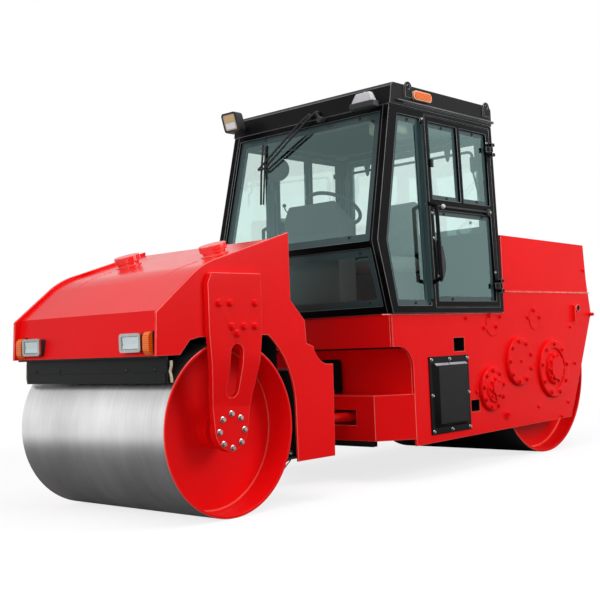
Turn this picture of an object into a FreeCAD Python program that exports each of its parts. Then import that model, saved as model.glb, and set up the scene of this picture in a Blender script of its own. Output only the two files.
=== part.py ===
import FreeCAD, Part
import Sketcher
import math
import os

# Two-drum articulated static road roller, in millimetres.
# The origin is on the ground at the middle of the machine, -Y is forward,
# +X is the driver's left-hand side and +Z is up.

Vector = FreeCAD.Vector

doc = FreeCAD.newDocument("StaticTandemRoller")
sheet = doc.addObject("Spreadsheet::Sheet", "Sizes")

SIZES = {
    # drums and their axles
    "front_axle_y": -1900,
    "front_drum_radius": 510,
    "front_shell_thick": 18,
    "front_web_inset": 170,
    "rear_axle_y": 1716,
    "rear_drum_radius": 690,
    "rear_shell_thick": 20,
    "rear_web_inset": 120,
    "drum_half_width": 690,
    "web_thick": 16,
    "front_journal_radius": 60,
    "front_hub_radius": 112,
    "rear_journal_radius": 75,
    "rear_hub_radius": 145,
    "running_clearance": 0.06,
    # front frame, its plates and the water tank between them
    "front_half_width": 700,
    "front_plate_thick": 16,
    "nose_y": -2453,
    "nose_bottom_z": 951,
    "nose_knee_y": -2440,
    "nose_knee_z": 1190,
    "arch_top_z": 1046,
    "arch_radius": 555,
    "tail_front_y": -1357,
    "tail_rear_y": -1000,
    "tail_bottom_z": 262,
    "tail_top_z": 849,
    "tank_rear_y": -1368,
    "tank_rear_z": 1677,
    "shoulder_y": -1954,
    "shoulder_z": 1501,
    "brow_y": -2161,
    "brow_z": 1407,
    "shoulder_radius": 620,
    "tank_lip": 22,
    "tank_floor_z": 1085,
    "apron_thick": 12,
    "guard_board_inset": 88,
    "cap_x": 417,
    "cap_y": -1729,
    "cap_radius": 86,
    "cap_height": 42,
    "cap_neck_radius": 72,
    "cap_neck_height": 30,
    "headlamp_x": 390,
    "headlamp_width": 190,
    "headlamp_height": 106,
    "signal_x": 590,
    "signal_width": 60,
    "signal_height": 138,
    "lamp_depth": 70,
    # yoke arms that carry the front drum
    "arm_thick": 35,
    "arm_inset": 45,
    "arm_top_z": 1410,
    "arm_front_y": -2087,
    "arm_rear_y": -1660,
    "arm_foot_radius": 130,
    "arm_slot_width": 100,
    "arm_bend_top_z": 880,
    "arm_bend_low_z": 640,
    "hub_flange_radius": 130,
    "hub_flange_thick": 14,
    # steering pivot, its fork and the two steering cylinders
    "pivot_y": -750,
    "pivot_z": 450,
    "pivot_pin_radius": 45,
    "fork_radius": 110,
    "fork_thick": 36,
    "knuckle_radius": 95,
    "knuckle_height": 290,
    "shaft_radius": 70,
    "beam_rear_y": -1060,
    "beam_bottom_z": 300,
    "beam_top_z": 820,
    "cylinder_z": 453,
    "cylinder_radius": 32,
    "cylinder_length": 585,
    "rod_radius": 18,
    "eye_radius": 36,
    "eye_height": 44,
    "eye_pin_radius": 16,
    "rod_pin_x": 250,
    "barrel_pin_x": 440,
    "barrel_pin_y": 0,
    # rear frame
    "rear_half_width": 775,
    "rear_plate_thick": 20,
    "sheet_thick": 12,
    "box_front_y": -450,
    "box_chamfer_x": 590,
    "recess_back_y": -225,
    "recess_top_z": 935,
    "recess_radius": 155,
    "box_top_z": 604,
    "box_bottom_z": 290,
    "skirt_front_z": 243,
    "skirt_rear_y": 2013,
    "skirt_rear_z": 267,
    "flank_y": 2229,
    "flank_z": 677,
    "rump_y": 2461,
    "rump_z": 1142,
    "deck_z": 1160,
    "hood_seam_z": 1320,
    "hood_seam_y": 2425,
    "hood_front_y": 1000,
    "hood_top_front_z": 1770,
    "hood_top_rear_z": 1745,
    "hood_top_rear_y": 2376,
    "hood_wall": 14,
    "moving_gap": 6,
    "grille_y": -50,
    "grille_z": 302,
    "grille_length": 500,
    "grille_height": 550,
    "grille_frame": 60,
    "grille_depth": 10,
    "hood_hinge_y": 2443,
    "hood_hinge_z": 1323,
    "hood_hinge_x": 480,
    "hood_pin_radius": 7,
    "hood_knuckle_radius": 13,
    "hood_knuckle_length": 90,
    # drive train covers, engine and the pieces between the plates
    "port_upper_y": 280,
    "port_upper_z": 880,
    "port_upper_width": 140,
    "port_upper_height": 100,
    "port_lower_y": 475,
    "port_lower_z": 425,
    "port_lower_width": 115,
    "port_lower_height": 87,
    "idler_y": 1175,
    "idler_z": 772,
    "idler_radius": 190,
    "pinion_y": 757,
    "pinion_z": 581,
    "pinion_radius": 167,
    "axle_cover_radius": 238,
    "cover_thick": 28,
    "patch_radius": 90,
    "patch_a_y": 814,
    "patch_a_z": 1068,
    "patch_b_y": 1466,
    "patch_b_z": 1103,
    "lashing_y": 2160,
    "lashing_z": 1190,
    "lashing_bore": 25,
    "lashing_radius": 34,
    "lashing_length": 38,
    "gusset_thick": 14,
    "gusset_drop": 120,
    "engine_front_y": 180,
    "engine_half_width": 330,
    "engine_low_z": 400,
    "engine_height": 680,
    "bulkhead_gap": 70,
    "bulkhead_low_z": 300,
    "cradle_depth": 60,
    "cradle_height": 40,
    "guard_gap": 30,
    "guard_thick": 6,
    "guard_low_z": 1000,
    "guard_half_length": 480,
    # cab
    "cab_half_width": 800,
    "cab_side_tilt": 1.4,
    "cab_wall": 50,
    "cab_foot_y": -460,
    "cab_knee_y": -585,
    "cab_knee_z": 1660,
    "cab_brow_y": -360,
    "cab_rear_y": 955,
    "screen_bar": 50,
    "roof_half_width": 773,
    "roof_front_y": -363,
    "roof_rear_y": 950,
    "roof_top_z": 2775,
    "roof_thick": 155,
    "roof_edge": 25,
    "ear_front_y": -150,
    "ear_rear_y": 870,
    "ear_radius": 41,
    "ear_thick": 12,
    "lug_hole_radius": 17.5,
    "door_front_y": 50,
    "door_rear_y": 905,
    "door_bottom_z": 1205,
    "door_head": 30,
    "door_rail_z": 1905,
    "door_rail_height": 80,
    "door_stile": 42,
    "quarter_rear_y": -5,
    "pillar_width": 100,
    "rear_sill_z": 1800,
    "rear_window_inset": 60,
    "glass_thick": 6,
    "glass_inset": 22,
    "hinge_radius": 12,
    "hinge_pin_radius": 6,
    "hinge_height": 40,
    "grab_low_z": 1373,
    "grab_high_z": 1949,
    "grab_reach": 82,
    "grab_radius": 11,
    "near_lamp_width": 215,
    "near_lamp_height": 110,
    "far_lamp_width": 168,
    "far_lamp_height": 142,
    "work_lamp_depth": 75,
    # inside the cab
    "wheel_y": -95,
    "wheel_z": 1990,
    "wheel_radius": 210,
    "wheel_rim_radius": 14,
    "wheel_tilt": 30,
    "seat_y": 560,
    "seat_z": 1640,
    "seat_width": 480,
    "seat_depth": 480,
    "cushion_thick": 130,
    "back_height": 520,
    "back_thick": 110,
    "console_width": 520,
    "console_depth": 190,
    "console_height": 640,
    "column_radius": 28,
    "column_pin_radius": 12,
}


class Size:
    """A number together with the sheet expression that gives it."""

    def __init__(self, value, text):
        self.value = value
        self.text = text

    def __add__(self, other):
        return joined(self, "+", other, self.value + number(other))

    def __radd__(self, other):
        return joined(other, "+", self, number(other) + self.value)

    def __sub__(self, other):
        return joined(self, "-", other, self.value - number(other))

    def __rsub__(self, other):
        return joined(other, "-", self, number(other) - self.value)

    def __mul__(self, other):
        return joined(self, "*", other, self.value * number(other))

    def __rmul__(self, other):
        return joined(other, "*", self, number(other) * self.value)

    def __truediv__(self, other):
        return joined(self, "/", other, self.value / number(other))

    def __rtruediv__(self, other):
        return joined(other, "/", self, number(other) / self.value)

    def __neg__(self):
        return Size(-self.value, "(0 - " + self.text + ")")


def number(size):
    return size.value if isinstance(size, Size) else float(size)


def expression(size):
    return size.text if isinstance(size, Size) else "(" + format(float(size), ".6f") + ")"


def joined(left, sign, right, value):
    return Size(value, "(" + expression(left) + " " + sign + " " + expression(right) + ")")


def root(size):
    return Size(math.sqrt(size.value), "sqrt(" + size.text + ")")


def sine(angle):
    return Size(math.sin(math.radians(angle.value)), "sin(" + angle.text + " * 1 deg)")


def cosine(angle):
    return Size(math.cos(math.radians(angle.value)), "cos(" + angle.text + " * 1 deg)")


class Dimensions:
    """The sheet's cells, each an attribute named like its alias."""

    def __init__(self, sizes):
        for row, (alias, value) in enumerate(sizes.items(), start=1):
            sheet.set("A" + str(row), alias)
            sheet.set("B" + str(row), str(value))
            sheet.setAlias("B" + str(row), alias)
            setattr(self, alias, Size(float(value), "Sizes." + alias))


d = Dimensions(SIZES)
doc.recompute()
subparts = {}


# ---------------------------------------------------------------- helpers

def bind(item, path, size):
    item.setExpression(path, expression(size))


def label(item, name):
    """Makes the object a sub-part with its own name."""
    item.Label = name
    subparts[name] = item
    return item


def place(item, x, y, z):
    bind(item, "Placement.Base.x", x)
    bind(item, "Placement.Base.y", y)
    bind(item, "Placement.Base.z", z)


def box(name, x, y, z, length, width, height):
    item = doc.addObject("Part::Box", name)
    bind(item, "Length", length)
    bind(item, "Width", width)
    bind(item, "Height", height)
    place(item, x, y, z)
    return item


TURNS = {
    "x": FreeCAD.Rotation(Vector(0, 1, 0), 90),
    "y": FreeCAD.Rotation(Vector(1, 0, 0), -90),
    "z": FreeCAD.Rotation(),
}


def rod(name, way, x, y, z, radius, length):
    """A cylinder that starts at (x, y, z) and runs along +X, +Y or +Z."""
    item = doc.addObject("Part::Cylinder", name)
    item.Placement = FreeCAD.Placement(Vector(), TURNS[way])
    bind(item, "Radius", radius)
    bind(item, "Height", length)
    place(item, x, y, z)
    return item


def fused(name, *pieces):
    item = doc.addObject("Part::MultiFuse", name)
    item.Shapes = list(pieces)
    item.Refine = True
    return item


def cut(name, base, *tools):
    item = doc.addObject("Part::Cut", name)
    item.Base = base
    item.Tool = tools[0] if len(tools) == 1 else fused(name + "Tools", *tools)
    item.Refine = True
    return item


def common(name, first, second):
    item = doc.addObject("Part::MultiCommon", name)
    item.Shapes = [first, second]
    return item


def group(name, *pieces):
    """Several solids that don't touch, kept as one sub-part."""
    item = doc.addObject("Part::Compound", name)
    item.Links = list(pieces)
    return item


def mirrored(name, source):
    """The same piece on the other side of the machine."""
    item = doc.addObject("Part::Mirroring", name)
    item.Source = source
    item.Normal = Vector(1, 0, 0)
    return item


def both_sides(name, source):
    return group(name, source, mirrored(name + "Right", source))


def sides(stem, source):
    """Labels a left piece and adds its mirror image on the right."""
    label(source, stem + "_left")
    label(mirrored(source.Name + "Right", source), stem + "_right")


def arc_centre(start, end, radius):
    """Centre of the short arc; a positive radius turns left on the way."""
    middle = (start + end) * 0.5
    chord = end - start
    left = Vector(-chord.y, chord.x, 0).normalize()
    height = math.sqrt(max(radius ** 2 - (chord.Length / 2) ** 2, 0))
    return middle + left * math.copysign(height, radius)


def draw_outline(sketch, corners):
    """Closed outline; a corner is (u, v), or (u, v, radius) before an arc."""
    points = [Vector(number(c[0]), number(c[1]), 0) for c in corners]
    total = len(corners)
    first = sketch.GeometryCount
    starts = []
    for i, corner in enumerate(corners):
        start, end = points[i], points[(i + 1) % total]
        if len(corner) == 2:
            sketch.addGeometry(Part.LineSegment(start, end), False)
            starts.append((1, 2))
            continue
        radius = number(corner[2])
        centre = arc_centre(start, end, radius)
        ahead = radius > 0
        one, two = (start, end) if ahead else (end, start)
        angle_one = math.atan2(one.y - centre.y, one.x - centre.x)
        angle_two = math.atan2(two.y - centre.y, two.x - centre.x)
        circle = Part.Circle(centre, Vector(0, 0, 1), abs(radius))
        sketch.addGeometry(Part.ArcOfCircle(circle, angle_one, angle_two), False)
        starts.append((1, 2) if ahead else (2, 1))
    for i, corner in enumerate(corners):
        edge = first + i
        previous = first + (i - 1) % total
        start_point = starts[i][0]
        sketch.addConstraint(
            Sketcher.Constraint("Coincident", previous, starts[i - 1][1], edge, start_point))
        for kind, size in (("DistanceX", corner[0]), ("DistanceY", corner[1])):
            index = sketch.addConstraint(
                Sketcher.Constraint(kind, -1, 1, edge, start_point, number(size)))
            bind(sketch, "Constraints[" + str(index) + "]", size)
        if len(corner) == 3:
            index = sketch.addConstraint(
                Sketcher.Constraint("Radius", edge, abs(number(corner[2]))))
            bind(sketch, "Constraints[" + str(index) + "]",
                 corner[2] if number(corner[2]) > 0 else 0 - corner[2])


def draw_circle(sketch, u, v, radius):
    circle = Part.Circle(Vector(number(u), number(v), 0), Vector(0, 0, 1), number(radius))
    edge = sketch.addGeometry(circle, False)
    for kind, size in (("DistanceX", u), ("DistanceY", v)):
        index = sketch.addConstraint(
            Sketcher.Constraint(kind, -1, 1, edge, 3, number(size)))
        bind(sketch, "Constraints[" + str(index) + "]", size)
    index = sketch.addConstraint(Sketcher.Constraint("Radius", edge, number(radius)))
    bind(sketch, "Constraints[" + str(index) + "]", radius)


def new_sketch(body, plane, offset):
    """Sketch on an origin plane of its body, moved along the plane's normal."""
    sketch = body.newObject("Sketcher::SketchObject", body.Name + "Sketch")
    for feature in body.Origin.OriginFeatures:
        if feature.Role == plane:
            sketch.AttachmentSupport = [(feature, "")]
    sketch.MapMode = "FlatFace"
    bind(sketch, "AttachmentOffset.Base.z", offset)
    return sketch


def new_body(name):
    return doc.addObject("PartDesign::Body", name)


def pad(body, plane, offset, depth, *outlines):
    sketch = new_sketch(body, plane, offset)
    for corners in outlines:
        draw_outline(sketch, corners)
    feature = body.newObject("PartDesign::Pad", body.Name + "Pad")
    feature.Profile = sketch
    bind(feature, "Length", depth)
    return feature


def pocket(body, plane, offset, depth, *outlines, circles=()):
    """Cuts the outlines out of the body, along the plane's normal."""
    doc.recompute()
    before = body.Shape.Volume
    sketch = new_sketch(body, plane, offset)
    for corners in outlines:
        draw_outline(sketch, corners)
    for u, v, radius in circles:
        draw_circle(sketch, u, v, radius)
    feature = body.newObject("PartDesign::Pocket", body.Name + "Pocket")
    feature.Profile = sketch
    feature.Reversed = True
    bind(feature, "Length", depth)
    doc.recompute()
    if body.Shape.Volume >= before:
        raise RuntimeError(body.Name + ": a pocket cuts nothing")
    return feature


def rectangle(u_low, u_high, v_low, v_high):
    return [(u_low, v_low), (u_high, v_low), (u_high, v_high), (u_low, v_high)]


def plate(name, plane, offset, depth, *outlines):
    body = new_body(name)
    pad(body, plane, offset, depth, *outlines)
    return body


def turned(name, x, y, z, profile):
    """A solid of revolution about X, from (position along X, radius) corners."""
    body = new_body(name)
    sketch = new_sketch(body, "XY_Plane", 0)
    draw_outline(sketch, profile)
    feature = body.newObject("PartDesign::Revolution", name + "Revolution")
    feature.Profile = sketch
    feature.ReferenceAxis = (sketch, ["H_Axis"])
    feature.Angle = 360
    place(body, x, y, z)
    return body


# ---------------------------------------------------------------- drums

def drum(name, radius, shell, inset, hub_radius, journal, axle_y):
    """Rolled shell with a dished disc and a bored hub at each end."""
    half = d.drum_half_width
    inner = radius - shell
    web_out = half - inset
    web_in = web_out - d.web_thick
    hub_out = web_out + 60
    hub_in = web_in - 60
    bore = journal + d.running_clearance
    body = turned(name, 0, axle_y, radius, [
        (-half, inner), (-half, radius), (half, radius), (half, inner),
        (web_out, inner), (web_out, hub_radius), (hub_out, hub_radius), (hub_out, bore),
        (hub_in, bore), (hub_in, hub_radius), (web_in, hub_radius), (web_in, inner),
        (-web_in, inner), (-web_in, hub_radius), (-hub_in, hub_radius), (-hub_in, bore),
        (-hub_out, bore), (-hub_out, hub_radius), (-web_out, hub_radius), (-web_out, inner)])
    return label(body, name)


def drums():
    drum("front_drum", d.front_drum_radius, d.front_shell_thick, d.front_web_inset,
         d.front_hub_radius, d.front_journal_radius, d.front_axle_y)
    drum("rear_drum", d.rear_drum_radius, d.rear_shell_thick, d.rear_web_inset,
         d.rear_hub_radius, d.rear_journal_radius, d.rear_axle_y)


# ---------------------------------------------------------------- front frame

def tank_line(drop):
    """The curved top of the front end, from the rear edge forward."""
    return [
        (d.tank_rear_y, d.tank_rear_z - drop),
        (d.shoulder_y, d.shoulder_z - drop, d.shoulder_radius),
        (d.brow_y, d.brow_z - drop),
    ]


def front_side_plates():
    inner = d.front_half_width - d.front_plate_thick
    body = plate("FrontPlate", "YZ_Plane", inner, d.front_plate_thick, [
        (d.nose_y, d.nose_bottom_z),
        (d.nose_y + 171, d.nose_bottom_z),
        (d.nose_y + 248, d.arch_top_z - 15),
        (d.nose_y + 323, d.arch_top_z),
        (d.tail_front_y - 221, d.arch_top_z, -d.arch_radius),
        (d.tail_front_y, d.tail_bottom_z + 338),
        (d.tail_front_y, d.tail_bottom_z),
        (d.tail_rear_y - 8, d.tail_bottom_z),
        (d.tail_rear_y + 8, d.tail_top_z),
        (d.tail_rear_y - 40, d.tail_top_z, -150),
        (d.tail_rear_y - 174, d.tail_top_z + 115),
        (d.tail_rear_y - 240, d.tail_top_z + 138),
        (d.tail_rear_y - 250, d.tail_top_z + 283),
        (d.tank_rear_y - 3, d.tail_top_z + 407),
        *tank_line(0),
        (d.nose_knee_y, d.nose_knee_z),
    ])
    sides("front_side_plate", body)


def water_tank():
    """Sprinkler tank between the side plates, with the front apron."""
    inner = d.front_half_width - d.front_plate_thick
    apron_bottom_y = d.nose_y + 27
    apron_top_y = d.nose_knee_y + 50
    body = plate("WaterTank", "YZ_Plane", -inner, 2 * inner, [
        (apron_bottom_y, d.nose_bottom_z),
        (apron_bottom_y + d.apron_thick, d.nose_bottom_z),
        (apron_bottom_y + d.apron_thick + 22, d.tank_floor_z),
        (d.tank_rear_y - 20, d.tank_floor_z),
        (d.tank_rear_y - 20, d.tank_rear_z - d.tank_lip - 6),
        (d.shoulder_y, d.shoulder_z - d.tank_lip, d.shoulder_radius),
        (d.brow_y, d.brow_z - d.tank_lip),
        (apron_top_y, d.nose_knee_z + 12),
    ])
    return label(body, "water_tank")


def filler_caps(tank):
    """Flanged necks on the sloping tank top, each with a round lid."""
    rise = (d.tank_rear_z - d.shoulder_z) / (d.tank_rear_y - d.shoulder_y)
    base_z = d.shoulder_z - d.tank_lip - 3 + rise * (d.cap_y - d.shoulder_y)
    slope = math.degrees(math.atan(number(rise)))
    turn = FreeCAD.Rotation(Vector(1, 0, 0), slope)
    run = 1 / root(1 + rise * rise)
    pieces = []
    for radius, low, height in (
            (d.cap_radius, -20, 28),
            (d.cap_neck_radius, 0, d.cap_neck_height + 5),
            (d.cap_radius, d.cap_neck_height, d.cap_height)):
        piece = doc.addObject("Part::Cylinder", "FillerPiece")
        bind(piece, "Radius", radius)
        bind(piece, "Height", height)
        piece.Placement = FreeCAD.Placement(Vector(), turn)
        place(piece, d.cap_x, d.cap_y - rise * run * low, base_z + run * low)
        pieces.append(piece)
    caps = cut("FillerCap", fused("FillerStack", *pieces), tank)
    label(both_sides("FillerCaps", caps), "filler_caps")


def front_cross_beam():
    """Box section behind the front drum, between the side plates' tails."""
    inner = d.front_half_width - d.front_plate_thick
    front_y = d.tail_front_y + 17
    beam = box("CrossBeam", -inner, front_y, d.beam_bottom_z,
               2 * inner, d.beam_rear_y - front_y, d.beam_top_z - d.beam_bottom_z)
    lug_x = d.rod_pin_x - d.eye_radius - 12
    lug_width = 2 * (d.eye_radius + 12)
    gap = d.eye_height / 2 + 3
    lugs = []
    for side in (0, 1):
        x = lug_x if side else 0 - lug_x - lug_width
        for z in (d.cylinder_z + gap, d.cylinder_z - gap - 14):
            lugs.append(box("RodLug", x, d.beam_rear_y, z,
                            lug_width, d.pivot_y + 45 - d.beam_rear_y, 14))
    shaft = rod("KnuckleShaft", "y", 0, d.beam_rear_y, d.pivot_z, d.shaft_radius,
                d.pivot_y - d.beam_rear_y - d.pivot_pin_radius - 20)
    flange = rod("KnuckleFlange", "y", 0, d.beam_rear_y, d.pivot_z, 140, 28)
    knuckle = rod("Knuckle", "z", 0, d.pivot_y, d.pivot_z - d.knuckle_height / 2,
                  d.knuckle_radius, d.knuckle_height)
    bore = rod("KnuckleBore", "z", 0, d.pivot_y, d.pivot_z - 200,
               d.pivot_pin_radius + d.running_clearance, 400)
    label(cut("FrontCrossBeam", fused("BeamSolid", beam, *lugs, shaft, flange, knuckle), bore),
          "front_cross_beam")


def yoke_arms():
    """Bolted to the side plate above, joggled inwards to the drum's hub."""
    out = d.front_half_width + d.arm_thick
    low = d.front_half_width - d.arm_inset
    axle_z = d.front_drum_radius
    foot = d.arm_foot_radius
    silhouette = plate("ArmSilhouette", "YZ_Plane", low - 5, out - low + 10, [
        (d.front_axle_y - foot, axle_z, foot * 1.001),
        (d.front_axle_y + foot, axle_z),
        (d.front_axle_y + foot + 23, axle_z + 120),
        (d.arm_rear_y - 26, axle_z + 414),
        (d.arm_rear_y - 8, axle_z + 534),
        (d.arm_rear_y, d.arm_top_z),
        (d.arm_front_y + 30, d.arm_top_z),
        (d.arm_front_y, d.arm_top_z - 60),
        (d.arm_front_y, axle_z + 544),
        (d.arm_front_y + 11, axle_z + 370),
        (d.front_axle_y - foot - 14, axle_z + 150),
    ])
    slot = d.arm_slot_width / 2
    pocket(silhouette, "YZ_Plane", low - 20, out - low + 40, [
        (d.front_axle_y - slot, axle_z + 221, slot * 1.02),
        (d.front_axle_y + slot, axle_z + 221),
        (d.front_axle_y + 25 + slot, axle_z + 449, slot * 1.02),
        (d.front_axle_y + 25 - slot, axle_z + 449),
    ])
    joggle = plate("ArmJoggle", "XZ_Plane", 0 - d.arm_rear_y - 100,
                   d.arm_rear_y - d.arm_front_y + 200, [
        (d.front_half_width, d.arm_top_z + 10),
        (d.front_half_width, d.arm_bend_top_z),
        (low, d.arm_bend_low_z),
        (low, axle_z - foot - 10),
        (low + d.arm_thick, axle_z - foot - 10),
        (low + d.arm_thick, d.arm_bend_low_z),
        (out, d.arm_bend_top_z),
        (out, d.arm_top_z + 10),
    ])
    sides("yoke_arm", common("YokeArm", silhouette, joggle))


def front_hubs():
    """Journal that the drum turns on, its flange bolted inside the arm's foot."""
    low = d.front_half_width - d.arm_inset
    hub_in = d.drum_half_width - d.front_web_inset - d.web_thick - 60
    hub = turned("FrontHub", 0, d.front_axle_y, d.front_drum_radius, [
        (hub_in, 0.0), (hub_in, d.front_journal_radius), (low, d.front_journal_radius), (low, 0.0)])
    flange = turned("FrontHubFlange", 0, d.front_axle_y, d.front_drum_radius, [
        (low - d.hub_flange_thick, 0.0), (low - d.hub_flange_thick, d.hub_flange_radius),
        (low, d.hub_flange_radius), (low, 0.0)])
    label(both_sides("FrontHubs", fused("FrontHubSet", hub, flange)), "front_hubs")


def front_scrapers():
    """Folded bar under the apron, its blade near the drum, and one behind."""
    inner = d.front_half_width - d.front_plate_thick
    axle_z = d.front_drum_radius
    lip_y = d.nose_y + 29
    bar_y = d.nose_y + d.guard_board_inset
    blade_z = d.nose_bottom_z - 176
    reach = d.front_axle_y - root(
        (d.front_drum_radius + 7) * (d.front_drum_radius + 7)
        - (blade_z - axle_z) * (blade_z - axle_z))
    body = plate("FrontScraper", "YZ_Plane", -inner, 2 * inner, [
        (lip_y, d.nose_bottom_z), (lip_y, d.nose_bottom_z - 10),
        (bar_y, d.nose_bottom_z - 10), (bar_y, blade_z),
        (reach, blade_z), (reach, blade_z + 8),
        (bar_y + 10, blade_z + 8), (bar_y + 10, d.nose_bottom_z),
    ])
    low_z = d.beam_bottom_z
    rear_reach = d.front_axle_y + root(
        (d.front_drum_radius + 7) * (d.front_drum_radius + 7)
        - (low_z - 20 - axle_z) * (low_z - 20 - axle_z))
    behind = plate("TailScraper", "YZ_Plane", -inner, 2 * inner, [
        (rear_reach, low_z - 20), (d.tail_front_y + 60, low_z - 20),
        (d.tail_front_y + 60, low_z), (rear_reach, low_z - 10)])
    label(group("DrumScrapers", body, behind), "drum_scrapers")


def front_lamps(tank):
    lamps = []
    signals = []
    lamp_y = d.nose_y - 8
    for side in (0, 1):
        x = d.headlamp_x if side else 0 - d.headlamp_x - d.headlamp_width
        lamps.append(box("Headlamp", x, lamp_y, d.nose_bottom_z + 24,
                         d.headlamp_width, d.lamp_depth, d.headlamp_height))
        x = d.signal_x if side else 0 - d.signal_x - d.signal_width
        signals.append(box("FrontSignal", x, lamp_y, d.nose_bottom_z + 2,
                           d.signal_width, d.lamp_depth, d.signal_height))
    label(cut("Headlamps", group("HeadlampPair", *lamps), tank), "headlamps")
    label(cut("FrontSignals", group("FrontSignalPair", *signals), tank), "front_signals")


# ---------------------------------------------------------------- rear frame

def rear_side_plates():
    inner = d.rear_half_width - d.rear_plate_thick
    body = plate("RearPlate", "YZ_Plane", inner, d.rear_plate_thick, [
        (d.recess_back_y, d.skirt_front_z),
        (d.skirt_rear_y, d.skirt_rear_z),
        (d.flank_y, d.flank_z),
        (d.rump_y, d.rump_z),
        (d.hood_seam_y, d.hood_seam_z),
        (d.hood_front_y, d.hood_seam_z),
        (d.hood_front_y, d.deck_z),
        (d.box_front_y, d.deck_z),
        (d.box_front_y, d.recess_top_z),
        (d.recess_back_y - d.recess_radius, d.recess_top_z, -d.recess_radius),
        (d.recess_back_y, d.recess_top_z - d.recess_radius),
    ])
    pocket(body, "YZ_Plane", inner - 5, d.rear_plate_thick + 10,
           rectangle(d.grille_y + d.grille_frame, d.grille_y + d.grille_length - d.grille_frame,
                     d.grille_z + d.grille_frame, d.grille_z + d.grille_height - d.grille_frame),
           rectangle(d.port_upper_y, d.port_upper_y + d.port_upper_width,
                     d.port_upper_z, d.port_upper_z + d.port_upper_height),
           rectangle(d.port_lower_y, d.port_lower_y + d.port_lower_width,
                     d.port_lower_z, d.port_lower_z + d.port_lower_height))
    sides("rear_side_plate", body)


def front_box():
    """Plated box at the front of the rear frame, with the steering fork."""
    wall = d.sheet_thick
    half = d.rear_half_width
    back = d.recess_back_y
    front = d.box_front_y
    body = plate("FrontBox", "XY_Plane", d.box_bottom_z, d.box_top_z - d.box_bottom_z, [
        (-half, back), (-d.box_chamfer_x, front), (d.box_chamfer_x, front), (half, back)])
    pocket(body, "XY_Plane", d.box_bottom_z, d.box_top_z - wall - d.box_bottom_z, [
        (-half + 1.6 * wall, back), (-d.box_chamfer_x + 0.5 * wall, front + wall),
        (d.box_chamfer_x - 0.5 * wall, front + wall), (half - 1.6 * wall, back)])
    low, high = d.cylinder_z - 55, d.cylinder_z + 52
    port_in, port_out = d.rod_pin_x - 45, d.barrel_pin_x - 13
    pocket(body, "XZ_Plane", 0 - front - wall - 5, wall + 10,
           rectangle(port_in, port_out, low, high),
           rectangle(0 - port_out, 0 - port_in, low, high))
    lugs = []
    for z in (d.box_top_z, d.pivot_z - (d.box_top_z - d.pivot_z) - d.fork_thick):
        tongue = plate("ForkTongue", "XY_Plane", z, d.fork_thick, [
            (-d.fork_radius, d.pivot_y, d.fork_radius * 1.001), (d.fork_radius, d.pivot_y),
            (d.fork_radius + 60, front + 80), (-d.fork_radius - 60, front + 80)])
        lugs.append(tongue)
    low_z = d.pivot_z - (d.box_top_z - d.pivot_z) - d.fork_thick
    pin = rod("PivotPin", "z", 0, d.pivot_y, low_z, d.pivot_pin_radius,
              d.box_top_z + d.fork_thick - low_z)
    head = rod("PivotPinHead", "z", 0, d.pivot_y, d.box_top_z + d.fork_thick, 62, 12)
    label(fused("SteeringFork", body, *lugs, pin, head), "steering_fork")


def recess_liner():
    """Front wall under the cab and the bent sheet behind the recess."""
    inner = d.rear_half_width - d.rear_plate_thick
    wall = d.sheet_thick
    back = d.recess_back_y
    top = d.recess_top_z
    body = plate("RecessLiner", "YZ_Plane", -inner, 2 * inner, [
        (d.box_front_y, d.deck_z), (d.box_front_y, top),
        (back - d.recess_radius, top, -d.recess_radius),
        (back, top - d.recess_radius), (back, d.box_top_z - wall),
        (back + wall, d.box_top_z - wall),
        (back + wall, top - d.recess_radius, d.recess_radius + wall),
        (back - d.recess_radius, top + wall),
        (d.box_front_y + wall, top + wall), (d.box_front_y + wall, d.deck_z)])
    deck = plate("CabDeck", "XY_Plane", d.deck_z - 20, 20,
                 rectangle(-inner, inner, d.box_front_y, d.hood_front_y))
    label(fused("CabDeckSet", body, deck), "cab_deck")


def bulkhead_y():
    return d.rear_axle_y - d.rear_drum_radius - d.bulkhead_gap


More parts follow.
